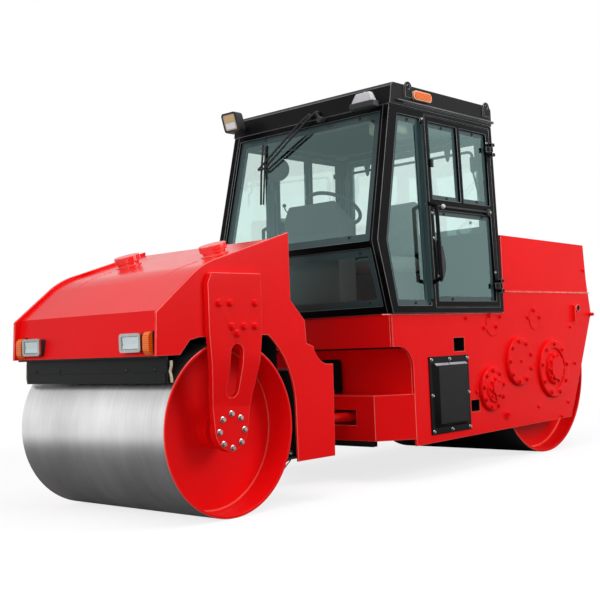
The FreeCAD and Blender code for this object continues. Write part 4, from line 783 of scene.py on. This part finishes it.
painted_shade_inside = enamel("painted_shade_inside", (0.006, 0.006, 0.006), (0.004, 0.004, 0.004), 0.7, 0.1)
trays = []
for sign in (1, -1):
    for y, z, wide, high in ((0.350, 0.930, 0.140, 0.100), (0.5325, 0.4685, 0.115, 0.087)):
        tray = block("tray", (sign * (side_x - 0.0415), y, z), (0.077, wide - 0.001, high - 0.001),
                     0.014, 4, 0)
        pick(tray, lambda face: face.normal.x * sign > 0.99)
        bpy.ops.mesh.inset(thickness=0.004)
        bpy.ops.mesh.extrude_region_move(TRANSFORM_OT_translate={"value": (-sign * 0.068, 0, 0)})
        closed()
        trays.append(tray)
dressed(joined("opening_shade_trays", trays), "rear_frame", "black_paint", painted_shade_inside)
# A black disc inside each lashing tube's open end stands for the shade in it: painted shade.
shade_disc_profile = [(0, 0.0012), (0.021, 0.0012), (0.022, 0), (0.020, -0.002), (0, -0.002)]
tubes = [spun("tube_shade_disc", shade_disc_profile, (sign * 0.8125, 2.16, 1.19), (sign, 0, 0), 24) for sign in (1, -1)]
dressed(joined("lashing_tube_shade_discs", tubes), "rear_frame", "black_paint", painted_shade_inside)

# --------------------------------------------------------------- grilles
# A bolted black frame on each side holds a raised hood with fine wire cloth
# over its face; a pale strip on its upper slope is a painted highlight.

grille_black = enamel("grille_black", (0.005, 0.005, 0.0055), (0.0035, 0.0035, 0.0035), 0.30, 0.10)
wire_grey = enamel("wire_cloth", (0.020, 0.021, 0.022), (0.013, 0.013, 0.014), 0.4, 0.4)
eased("side_grilles", "rear_frame", "grille_black", grille_black)
# Pale grey for the strip on the grille hood's upper slope: painted highlight where the slope catches light from
# above.
slope_highlight = enamel("slope_highlight", (0.40, 0.43, 0.46), (0.30, 0.33, 0.36), 0.25, 0.5)
grille_low, grille_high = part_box("side_grilles")
proud, slope, rim_wide, wire_pitch = 0.030, 0.032, 0.042, 0.0068
wire_y = (grille_low.y + rim_wide + slope, grille_high.y - rim_wide - slope)
wire_z = (grille_low.z + rim_wide + slope, grille_high.z - rim_wide - slope)
grille_bolt = hexagon_bolt(0.017)
for side, sign in (("left", 1), ("right", -1)):
    strands = []
    face_x, foot_x = sign * (grille_high.x + proud), sign * (grille_high.x - 0.002)
    (y0, y1), (z0, z1) = wire_y, wire_z
    foot_wide, foot_high = y1 - y0 + 2 * slope, z1 - z0 + 2 * slope
    middle_y, middle_z = (y0 + y1) / 2, (z0 + z1) / 2
    hood = cube("grille_hood_" + side, ((face_x + foot_x) / 2, middle_y, middle_z),
                (proud + 0.002, foot_wide, foot_high))
    pick(hood, lambda face: face.normal.x * sign > 0.99)
    bpy.ops.transform.resize(value=(1, (y1 - y0) / foot_wide, (z1 - z0) / foot_high),
                             center_override=(face_x, middle_y, middle_z))
    bpy.ops.mesh.select_all(action="SELECT")
    bpy.ops.mesh.bevel(offset=0.0025, segments=2)
    pick(hood, lambda face: face.normal.x * sign > 0.99 and face.calc_area() > 0.01)
    bpy.ops.mesh.inset(thickness=0.006)
    bpy.ops.mesh.extrude_region_move(TRANSFORM_OT_translate={"value": (-sign * 0.005, 0, 0)})
    closed(35)
    dressed(hood, "rear_frame", "grille_black", grille_black)
    for axis, (start, end), (low, high), lift in ((1, wire_y, wire_z, 0.0), (2, wire_z, wire_y, 0.0011)):
        count = int((end - start) / wire_pitch)
        x = face_x + sign * (lift - 0.0008)
        size = [0.0011, 0, 0]
        size[axis], size[3 - axis] = 0.0022, high - low
        wire = cube("wire", (0, 0, 0), size)
        pick_edges(wire, lambda edge: abs((edge.verts[0].co - edge.verts[1].co).normalized()[3 - axis]) > 0.99)
        bpy.ops.mesh.bevel(offset=0.0003, segments=1)
        closed()
        strand = pattern_of(wire)
        for i in range(count + 1):
            centre = [x, 0, 0]
            centre[axis], centre[3 - axis] = start + (end - start) * i / count, (low + high) / 2
            strands.append(copied(strand, Matrix.Translation(centre)))
    dressed(joined("wire_cloth_" + side, strands), "rear_frame", "grille_black", wire_grey)
    spots = [(y, z) for y in (grille_low.y + 0.022, middle_y, grille_high.y - 0.022)
             for z in (grille_low.z + 0.022, middle_z, grille_high.z - 0.022) if (y, z) != (middle_y, middle_z)]
    seated("grille_bolts_" + side, grille_bolt, flank_skin, [(sign * outside_x, y, z) for y, z in spots],
           (-sign, 0, 0), "rear_frame", "rod_chrome", zinc)
    strips = []
    for start, end in ((y0 - slope * 0.8, y0 + (y1 - y0) * 0.40), (y0 + (y1 - y0) * 0.43, y1 + slope * 0.6)):
        strip = block("strip", (0, (start + end) / 2, 0), (0.004, end - start, 0.024), 0.0015, 2)
        strip_place = (sign * (grille_high.x + proud / 2 + 0.0015), 0, z1 + slope / 2 + 0.0015)
        strip.data.transform(Matrix.Translation(strip_place)
                             @ Matrix.Rotation(-sign * math.atan2(slope, proud), 4, "Y"))
        strips.append(strip)
    dressed(joined("grille_slope_highlight_" + side, strips), "rear_frame", "rod_chrome", slope_highlight)

# ------------------------------------------------------------- cab shell
# The cab is welded from square tube and folded sheet in satin black, with the
# doors hung on the rear posts and a steel handrail on each side.

cab_black = enamel("cab_black", (0.0060, 0.0062, 0.0070), (0.0040, 0.0042, 0.0050), 0.30, 0.11, 0.0, 0.15)
post_black = enamel("post_black", (0.0032, 0.0033, 0.0037), (0.0022, 0.0023, 0.0026), 0.22, 0.06, 0.0, 0.1)
# A grey for the cab's rounded edges: painted highlight, for the light that edges catch.
edge_highlight_black = enamel("edge_highlight_black", (0.15, 0.155, 0.16), (0.05, 0.052, 0.055), 0.28, 0.7)
for part in ("cab_side_left", "cab_side_right", "cab_front", "cab_rear"):
    eased(part, "rear_frame", "black_paint", post_black, highlight=edge_highlight_black)
eased("cab_roof", "rear_frame", "black_paint", cab_black, highlight=edge_highlight_black)
rails = eased("grab_rails", "rear_frame", "black_paint", post_black, 0.002)
coat_thick, nearer = 0.0035, 0.0040
opened(rails)
bpy.ops.transform.shrink_fatten(value=coat_thick)
closed()
for corner in rails.data.vertices:
    corner.co.x -= math.copysign(nearer, corner.co.x)
for side in ("left", "right"):
    eased("door_" + side, "door_" + side, "black_paint", post_black, highlight=edge_highlight_black)

# ----------------------------------------------------------------- glass
# Flat green-tinted safety glass. Each pane's margin is printed grey-green and
# held by small black screws through it.

cab_tint = glass_sheet("green_tinted_glass", (0.94, 0.975, 0.960), (0.92, 0.962, 0.948), 0.17)
for pane in ("windscreen", "cab_windows", "door_glass_left", "door_glass_right"):
    nodes[pane].data.materials.clear()
    nodes[pane].data.materials.append(cab_tint)
dusty_tint = glass_sheet("dusty_tinted_glass", (0.94, 0.975, 0.960), (0.92, 0.962, 0.948), 0.06, blur=0.38)
lower_pane_top = 1.64
coated(nodes["windscreen"], dusty_tint, lambda face: face.center.z < lower_pane_top)
margin_print = enamel("printed_margin", (0.050, 0.083, 0.086), (0.040, 0.068, 0.070), 0.18, 0.28)
pane_screw = button_screw(0.025)


def margin(node, name, body, outward, width, screws):
    """The printed margin of each pane that faces outward, and its screws at even steps."""
    piece = traced(node, "pane_margin_" + name)
    outward = Vector(outward)
    pick(piece, lambda face: face.normal.dot(outward) < 0.8)
    bpy.ops.mesh.delete(type="FACE")
    bpy.ops.mesh.select_all(action="SELECT")
    bpy.ops.mesh.inset(thickness=width, use_individual=True)
    bpy.ops.mesh.delete(type="FACE")
    closed()
    wall = piece.modifiers.new("print", "SOLIDIFY")
    wall.thickness, wall.offset = 0.0012, 1
    bpy.ops.object.modifier_apply(modifier=wall.name)
    dressed(piece, body, "cab_glass", margin_print)
    seated("pane_screws_" + name, pane_screw, skin_of(node),
           [Vector(screw) + outward * 1.5 for screw in screws], -outward, body, "black_plastic", black_plastic)


margin("windscreen", "windscreen", "rear_frame", (0, -1, 0), 0.052,
       [(-0.430, 0, 2.553), (0.500, 0, 2.553), (-0.520, 0, 1.699), (0.520, 0, 1.699),
        (-0.600, 0, 1.585), (0.600, 0, 1.585), (-0.600, 0, 1.245), (0.600, 0, 1.245)])
margin("cab_windows", "rear", "rear_frame", (0, 1, 0), 0.045,
       [(x, 0, z) for x in (-0.55, 0, 0.55) for z in (1.885, 2.535)])
for side, sign in (("left", 1), ("right", -1)):
    margin("cab_windows", "quarter_" + side, "rear_frame", (sign, 0, 0), 0.042,
           [(0, y, z) for y, z in ((-0.136, 2.537), (-0.170, 1.236))])
    margin("door_glass_" + side, "door_" + side, "door_" + side, (sign, 0, 0), 0.034,
           [(0, y, z) for y, z in ((0.292, 1.264), (0.828, 1.266), (0.247, 1.886), (0.760, 1.892),
                                   (0.299, 2.004), (0.706, 2.009), (0.285, 2.526), (0.700, 2.531))])

# ----------------------------------------------------------------- wiper
# The windscreen wiper hangs from a motor under the roof: two parallel arms of
# flat steel and a rubber blade in a pressed holder.

def rounded_path(points, bend):
    """The points of a bar bent round each corner."""
    points = [Vector(p) for p in points]
    path = [points[0]]
    for before, corner, after in zip(points, points[1:], points[2:]):
        start, end = (corner + (other - corner).normalized() * bend for other in (before, after))
        for t in (0, 0.2, 0.4, 0.6, 0.8, 1):
            path.append(start * (1 - t) ** 2 + corner * 2 * t * (1 - t) + end * t * t)
    return path + [points[-1]]


def bar(name, points, radius, bend=0.02, sides=2):
    """A round bar through the points, bent at each corner."""
    return thickened(drawn(name, rounded_path(points, bend) if len(points) > 2 else points), radius, sides)


glass_skin = skin_of("windscreen")


def before_glass(x, z, gap):
    """A point that stands a gap in front of the windscreen."""
    place, facing, _, _ = glass_skin.ray_cast(Vector((x, -3, z)), Vector((0, 1, 0)))
    return place - Vector((0, 1, 0)) * gap


wiper = []
pivots = [Vector((0.047, -0.396, 2.655)), Vector((0.118, -0.396, 2.665))]
feet = [before_glass(-0.436, 2.319, 0.036), before_glass(-0.371, 2.319, 0.036)]
for pivot, foot in zip(pivots, feet):
    wiper.append(bar("arm", [pivot, pivot.lerp(foot, 0.12) + Vector((0, -0.012, 0)), foot], 0.0085, 0.02))
    wiper.append(spun("pivot", [(0, 0.034), (0.012, 0.032), (0.016, 0.024), (0.016, 0), (0, 0)],
                      pivot + Vector((0, 0.034, 0)), (0, -1, 0), 20))
holder = [before_glass(-0.435, 2.515, 0.020), before_glass(-0.404, 2.290, 0.032),
          before_glass(-0.376, 2.041, 0.020)]
wiper.append(bar("holder", holder, 0.0085, 0.05))
wiper.append(bar("rubber", [p + Vector((0.018, 0.008, 0)) for p in (holder[0], holder[2])], 0.007))
wiper.append(bar("link", feet, 0.011))
wiper.append(bar("drive", [pivots[1] + Vector((0, 0.006, 0)), Vector((0.164, -0.386, 2.603))], 0.010))
wiper.append(spun("motor", [(0, 0.030), (0.020, 0.030), (0.025, 0.024), (0.025, -0.030), (0, -0.030)],
                  (0.164, -0.386, 2.603), (0, -1, 0), 24))
dressed(joined("windscreen_wiper", wiper), "rear_frame", "black_plastic", black_plastic)

# ---------------------------------------------------------- door fittings
# Each door has a bent lever over its latch, a lock rod with a pale ball knob
# along the rail, and a stop at the rear.

post_bolt = hexagon_bolt(0.012)
pale_knob = enamel("pale_knob", (0.72, 0.72, 0.70), (0.60, 0.60, 0.58), 0.2, 0.5, 0.3)
sill_x, sill_z, lean_slope = 0.800, 1.160, math.tan(math.radians(1.4))
ball_profile = [(0, 0.036), (0.010, 0.034), (0.017, 0.026), (0.018, 0.016), (0.010, 0.008), (0.009, -0.004),
                (0, -0.004)]


def door_face(sign, z):
    """The x of a door's leaning face at height z."""
    return sign * (sill_x - (z - sill_z) * lean_slope)


for side, sign in (("left", 1), ("right", -1)):
    near, far = door_face(sign, 1.520) + sign * 0.012, door_face(sign, 1.520) + sign * 0.026
    lever = prism("lever", [(0.112, 1.660), (0.135, 1.640), (0.160, 1.560), (0.165, 1.490), (0.150, 1.430),
                            (0.115, 1.385), (0.095, 1.395), (0.110, 1.480), (0.105, 1.580), (0.095, 1.640)],
                  near, far)
    fittings = [
        lever,
        block("latch", (door_face(sign, 1.580) + sign * 0.006, 0.118, 1.560), (0.018, 0.050, 0.250), 0.006),
        bar("lock_rod", [(door_face(sign, 1.934) + sign * 0.010, y, 1.934) for y in (0.130, 0.800)],
            0.009, 0.02, 3),
        block("stop", (door_face(sign, 1.931) + sign * 0.012, 0.812, 1.931), (0.026, 0.050, 0.056), 0.010),
        block("keeper", (door_face(sign, 2.245) + sign * 0.008, 0.098, 2.245), (0.018, 0.026, 0.060), 0.005),
    ]
    dressed(joined("door_fittings_" + side, fittings), "door_" + side, "black_plastic", black_plastic)
    ball = spun("knob", ball_profile, (door_face(sign, 1.933) + sign * 0.006, 0.178, 1.933), (sign, 0, 0), 20)
    dressed(ball, "door_" + side, "black_plastic", pale_knob).name = "door_knob_" + side
    stop_screw = spun("screw", [(0, 0.006), (0.008, 0.005), (0.010, 0), (0.010, -0.004), (0, -0.004)],
                      (door_face(sign, 1.931) + sign * 0.026, 0.818, 1.931), (sign, 0, 0), 16)
    dressed(stop_screw, "door_" + side, "rod_chrome", zinc).name = "door_stop_screw_" + side
    post_skin = skin_of("cab_side_" + side, "door_" + side)
    for body, name, spots in (("rear_frame", "post_bolts_", [(0.018, 1.370), (0.001, 1.940), (0.018, 2.560)]),
                              ("door_" + side, "door_bolts_", [(0.073, 1.883), (0.073, 1.700), (0.412, 2.490),
                                                               (0.412, 2.125), (0.812, 1.948), (0.870, 1.470),
                                                               (0.870, 2.480)])):
        seated(name + side, post_bolt, post_skin, [(sign * outside_x, y, z) for y, z in spots], (-sign, 0, 0),
               body, "rod_chrome", zinc)
    # The roof gutter bar takes the pale grey edge paint as painted highlight.
    gutter = bar("roof_gutter_" + side, [(sign * 0.790, y, 2.652) for y in (-0.290, 0.950)], 0.0055, 0.02, 3)
    dressed(gutter, "rear_frame", "black_paint", edge_highlight_black)

# ----------------------------------------------------------------- lamps
# Two work lamps on the cab's front: a round-cornered one with an amber and a
# clear half, and a wide one with a deep bright bowl; signals on the roof.

roof_front_y = -0.423
far_x, far_z = -0.668, 2.716
far = block("far_work_lamp", (far_x, roof_front_y - 0.042, far_z), (0.164, 0.070, 0.146), 0.024, 4, 1)
dressed(far, "rear_frame", "black_plastic", black_plastic)
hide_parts("work_lamps")
face = block("far_lamp_face", (far_x, roof_front_y - 0.078, far_z), (0.122, 0.004, 0.114), 0.012, 3, 1)
aimed_down = [far, dressed(face, "rear_frame", "black_plastic", cream)]
faded_amber = amber_plastic("faded_amber_lens", (0.62, 0.40, 0.14), (0.90, 0.66, 0.36))
for name, z, finish in (("amber", far_z + 0.026, faded_amber), ("clear", far_z - 0.026, reflector)):
    half = block("far_lamp_" + name, (far_x, roof_front_y - 0.0785, z), (0.100, 0.005, 0.044), 0.007, 3, 1)
    aimed_down.append(dressed(half, "rear_frame", name + "_lens", finish))
lamp_slope = 0.30
for piece in aimed_down:
    for corner in piece.data.vertices:
        corner.co.y -= lamp_slope * (corner.co.z - far_z)
near_x, near_y, near_z = 0.622, roof_front_y - 0.035, 2.6305
bowl = block("near_bowl", (near_x, near_y, near_z + 0.035), (0.190, 0.064, 0.070), 0.010, 3)
for corner in bowl.data.vertices:
    rise = (corner.co.z - near_z) / 0.070
    corner.co.x += (near_x + 0.012 - corner.co.x) * 0.36 * rise
    corner.co.y += (near_y + 0.006 - corner.co.y) * 0.40 * rise
stud = spun("stud", [(0, 0.012), (0.006, 0.010), (0.009, 0.0), (0.012, -0.004), (0, -0.004)],
            (near_x + 0.012, near_y, near_z + 0.066), (0, 0, 1), 16)
dressed(joined("near_lamp_bowl", [bowl, stud]), "rear_frame", "clear_lens",
        enamel("milky_bowl", (0.62, 0.61, 0.64), (0.40, 0.39, 0.42), 0.2, 0.7, 0.3))
stays = [block("stay", (far_x, roof_front_y + 0.030, 2.690), (0.030, 0.070, 0.030), 0.004),
         block("base", (near_x, near_y, near_z - 0.018), (0.212, 0.070, 0.044), 0.008),
         block("stay", (near_x, roof_front_y + 0.030, 2.660), (0.030, 0.070, 0.030), 0.004)]
dressed(joined("lamp_stays", stays), "rear_frame", "black_plastic", black_plastic)
roof_low, roof_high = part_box("roof_signals")
_, middle_y, middle_z = (roof_low + roof_high) / 2
_, deep, tall = roof_high - roof_low
surrounds, lenses = [], []
for sign in (1, -1):
    surrounds.append(block("surround", (sign * (roof_high.x - 0.0175), middle_y, middle_z),
                           (0.025, deep, tall), 0.029, 7, 0))
    lenses.append(block("lens", (sign * (roof_high.x - 0.0105), middle_y, middle_z),
                        (0.020, deep - 0.026, tall - 0.018), 0.021, 7, 0))
dressed(joined("roof_signal_rims", surrounds), "rear_frame", "black_plastic",
        enamel("pale_rim", (0.80, 0.42, 0.26), (0.60, 0.28, 0.16), 0.3, 0.5))
lens = dressed(joined("roof_signal_lenses", lenses), "rear_frame", "amber_lens", amber)
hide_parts("roof_signals")

# --------------------------------------------------------- dash and wheel
# A moulded dash with a cowl over its dials carries the steering column; the
# wheel has a thick padded rim.

moulded = enamel("moulded_plastic", (0.060, 0.064, 0.066), (0.045, 0.048, 0.050), 0.55, 0.25, 0.0, 0.4)
eased("console", "rear_frame", "black_plastic", moulded, 0.008, 3)
eased("steering_wheel", "steering_wheel", "black_plastic", black_plastic, 0.003, 2)
cowl_profile = [(-0.372, 1.780), (-0.372, 1.907), (-0.360, 2.006), (-0.335, 2.012), (-0.178, 1.868),
                (-0.178, 1.780)]
cowl = prism("dash_cowl", cowl_profile, -0.262, 0.262)
brow_foot, brow_high, narrowed = 1.907, 0.105, 0.17
for corner in cowl.data.vertices:
    corner.co.x *= 1 - narrowed * max(0, corner.co.z - brow_foot) / brow_high
opened(cowl)
bpy.ops.mesh.bevel(offset=0.010, segments=3)
closed(35)
dressed(cowl, "rear_frame", "black_plastic", moulded)
dial_profile = [(0, 0.004), (0.026, 0.004), (0.030, 0.009), (0.034, 0.008), (0.034, -0.004), (0, -0.004)]
knob_profile = [(0, 0.018), (0.010, 0.015), (0.015, 0.006), (0.014, -0.004), (0.006, -0.012), (0, -0.012)]
dials = [spun("dial", dial_profile, (x, -0.255, 1.940), (0, 0.68, 0.74), 28) for x in (-0.13, -0.05)]
knob = spun("knob", knob_profile, (-0.268, -0.352, 2.026), (0, 0, 1), 20)
stalk = bar("stalk", [(-0.268, -0.352, 2.020), (-0.262, -0.345, 1.990), (-0.225, -0.340, 1.960)], 0.005, 0.01)
dressed(joined("dash_dials", dials + [knob, stalk]), "rear_frame", "black_plastic", black_plastic)

# ------------------------------------------------------------ cab lining
# The ceiling is a pale moulded liner with two boxes under it; a round mirror
# hangs on the far post, and a bent tube crosses the rear window.

liner_grey = enamel("liner_grey", (0.34, 0.37, 0.36), (0.28, 0.31, 0.30), 0.7, 0.2, 0.0, 0.5)
liner = block("ceiling_liner", (0, 0.300, 2.596), (1.400, 1.120, 0.040), 0.018, 4)
pick(liner, lambda face: face.normal.z < -0.9)
bpy.ops.mesh.inset(thickness=0.09)
bpy.ops.mesh.extrude_region_move(TRANSFORM_OT_translate={"value": (0, 0, 0.012)})
closed()
dressed(liner, "rear_frame", "black_plastic", liner_grey)
beige = enamel("beige_plastic", (0.36, 0.35, 0.28), (0.28, 0.27, 0.21), 0.6, 0.25, 0.0, 0.4)
dressed(block("ceiling_box", (0.596, -0.105, 2.520), (0.190, 0.330, 0.150), 0.020, 4),
        "rear_frame", "black_plastic", beige)
dressed(block("heater_box", (-0.510, -0.210, 2.548), (0.210, 0.170, 0.090), 0.020, 4),
        "rear_frame", "black_plastic", black_plastic)
disc_profile = [(0, 0.010), (0.085, 0.010), (0.094, 0.004), (0.094, -0.006), (0.070, -0.022), (0, -0.026)]
stem_route = [(-0.560, -0.085, 2.350), (-0.640, -0.090, 2.300), (-0.690, -0.060, 2.290)]
mirror = [spun("disc", disc_profile, (-0.560, -0.100, 2.372), (0.55, -0.83, 0), 40),
          bar("stem", stem_route, 0.008, 0.03),
          bar("hook", [(-0.632, -0.100, 2.290), (-0.630, -0.100, 2.215), (-0.598, -0.100, 2.210),
                       (-0.598, -0.100, 2.110)], 0.007, 0.012)]
dressed(joined("round_mirror", mirror), "rear_frame", "black_plastic", moulded)
tube_route = [(x, 0.860, z) for x, z in ((-0.641, 2.370), (-0.641, 2.434), (0.641, 2.434), (0.641, 2.370))]
tube = [bar("tube", tube_route, 0.011, 0.05, 3)]
for sign in (1, -1):
    tube.append(spun("grip", [(0, 0.064), (0.018, 0.060), (0.021, 0.040), (0.019, -0.050), (0.012, -0.062),
                              (0, -0.062)], (sign * 0.641, 0.860, 2.330), (0, 0, 1), 20))
    tube.append(bar("strut", [(sign * 0.641, 0.860, 2.275), (sign * 0.690, 0.862, 2.060)], 0.008))
    tube.append(spun("hanger", [(0, 0.070), (0.024, 0.066), (0.026, 0.020), (0.015, -0.050), (0.006, -0.068),
                                (0, -0.068)], (sign * 0.410, 0.860, 2.455), (0, 0, 1), 20))
dressed(joined("rear_tube", tube), "rear_frame", "black_plastic", moulded)

# ------------------------------------------------------------------ seat
# A sprung seat in woven grey-green cloth over foam, sewn in panels, on a
# moulded base.

eased("seat_base", "rear_frame", "black_plastic", moulded, 0.006, 3)


def woven_cloth(name):
    """Plain-woven cloth: threads that cross, slightly uneven, in two shades."""
    cloth, skin, tree = new_finish(name)
    where = added(tree, "TexCoord").outputs["Object"]
    threads = {"Vector": where, "Scale": 90, "Distortion": 1.5}
    weave = added(tree, "TexWave", threads).outputs["Fac"]
    cross = added(tree, "TexWave", threads, bands_direction="Z").outputs["Fac"]
    both = added(tree, "Math", {0: weave, 1: cross}, operation="MULTIPLY")
    fuzz = added(tree, "TexNoise", {"Vector": where, "Scale": 14})
    mix = added(tree, "Math", {0: both, 1: fuzz}, operation="ADD")
    tone = added(tree, "Mix", {"Factor": mix, "A": (0.075, 0.090, 0.088, 1), "B": (0.19, 0.22, 0.215, 1)},
                 data_type="RGBA")
    relief = added(tree, "Bump", {"Height": both, "Strength": 0.4, "Distance": 0.001})
    fitted(skin, {"Base Color": tone, "Normal": relief, "Roughness": 0.9, "Sheen Weight": 0.4,
                  "Specular IOR Level": 0.2})
    return cloth


def stuffed(name, node, narrow, lowered, inset, round_by, across, cap):
    """A pad as the node's room holds it: a rounded form that swells like foam in its cover."""
    low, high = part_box(node)
    low, high = low + Vector((narrow, inset, inset)), high - Vector((narrow, inset, inset + lowered))
    pad = block(name, (low + high) / 2, high - low, round_by, 5)
    taken_up(pad)
    skin = pad.modifiers.new("even", "REMESH")
    skin.mode, skin.voxel_size = "VOXEL", 0.006
    bpy.ops.object.modifier_apply(modifier=skin.name)
    rest = [v.co.copy() for v in pad.data.vertices]
    cloth = pad.modifiers.new("cover", "CLOTH")
    cloth.settings.use_pressure, cloth.settings.uniform_pressure_force = True, 4
    cloth.settings.effector_weights.gravity = 0
    cloth.settings.quality = 5
    for step in range(1, 21):
        bpy.context.scene.frame_set(step)
    bpy.ops.object.modifier_apply(modifier=cloth.name)
    bpy.context.scene.frame_set(1)
    for v, was in zip(pad.data.vertices, rest):
        move = v.co - was
        if move.length > cap:
            move = move.normalized() * cap
        v.co = was + move
    middle = (low + high) / 2
    seam_wide, seam_share = 0.007, 0.16
    for v in pad.data.vertices:
        for seam_x in (-0.125, 0.125):
            groove = math.exp(-((v.co.x - middle.x - seam_x) / seam_wide) ** 2)
            v.co[across] += (middle[across] - v.co[across]) * seam_share * groove
    smooth = pad.modifiers.new("smooth", "SMOOTH")
    smooth.iterations = 3
    bpy.ops.object.modifier_apply(modifier=smooth.name)
    bpy.ops.object.shade_smooth()
    dressed(pad, "rear_frame", "seat_cover", seat_cloth)
    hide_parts(node)


seat_cloth = woven_cloth("seat_cloth")
stuffed("seat_pad", "seat_cushion", 0.034, 0, 0.014, 0.042, 2, 0.012)
stuffed("back_pad", "seat_back", 0.046, 0.050, 0.014, 0.036, 1, 0.012)
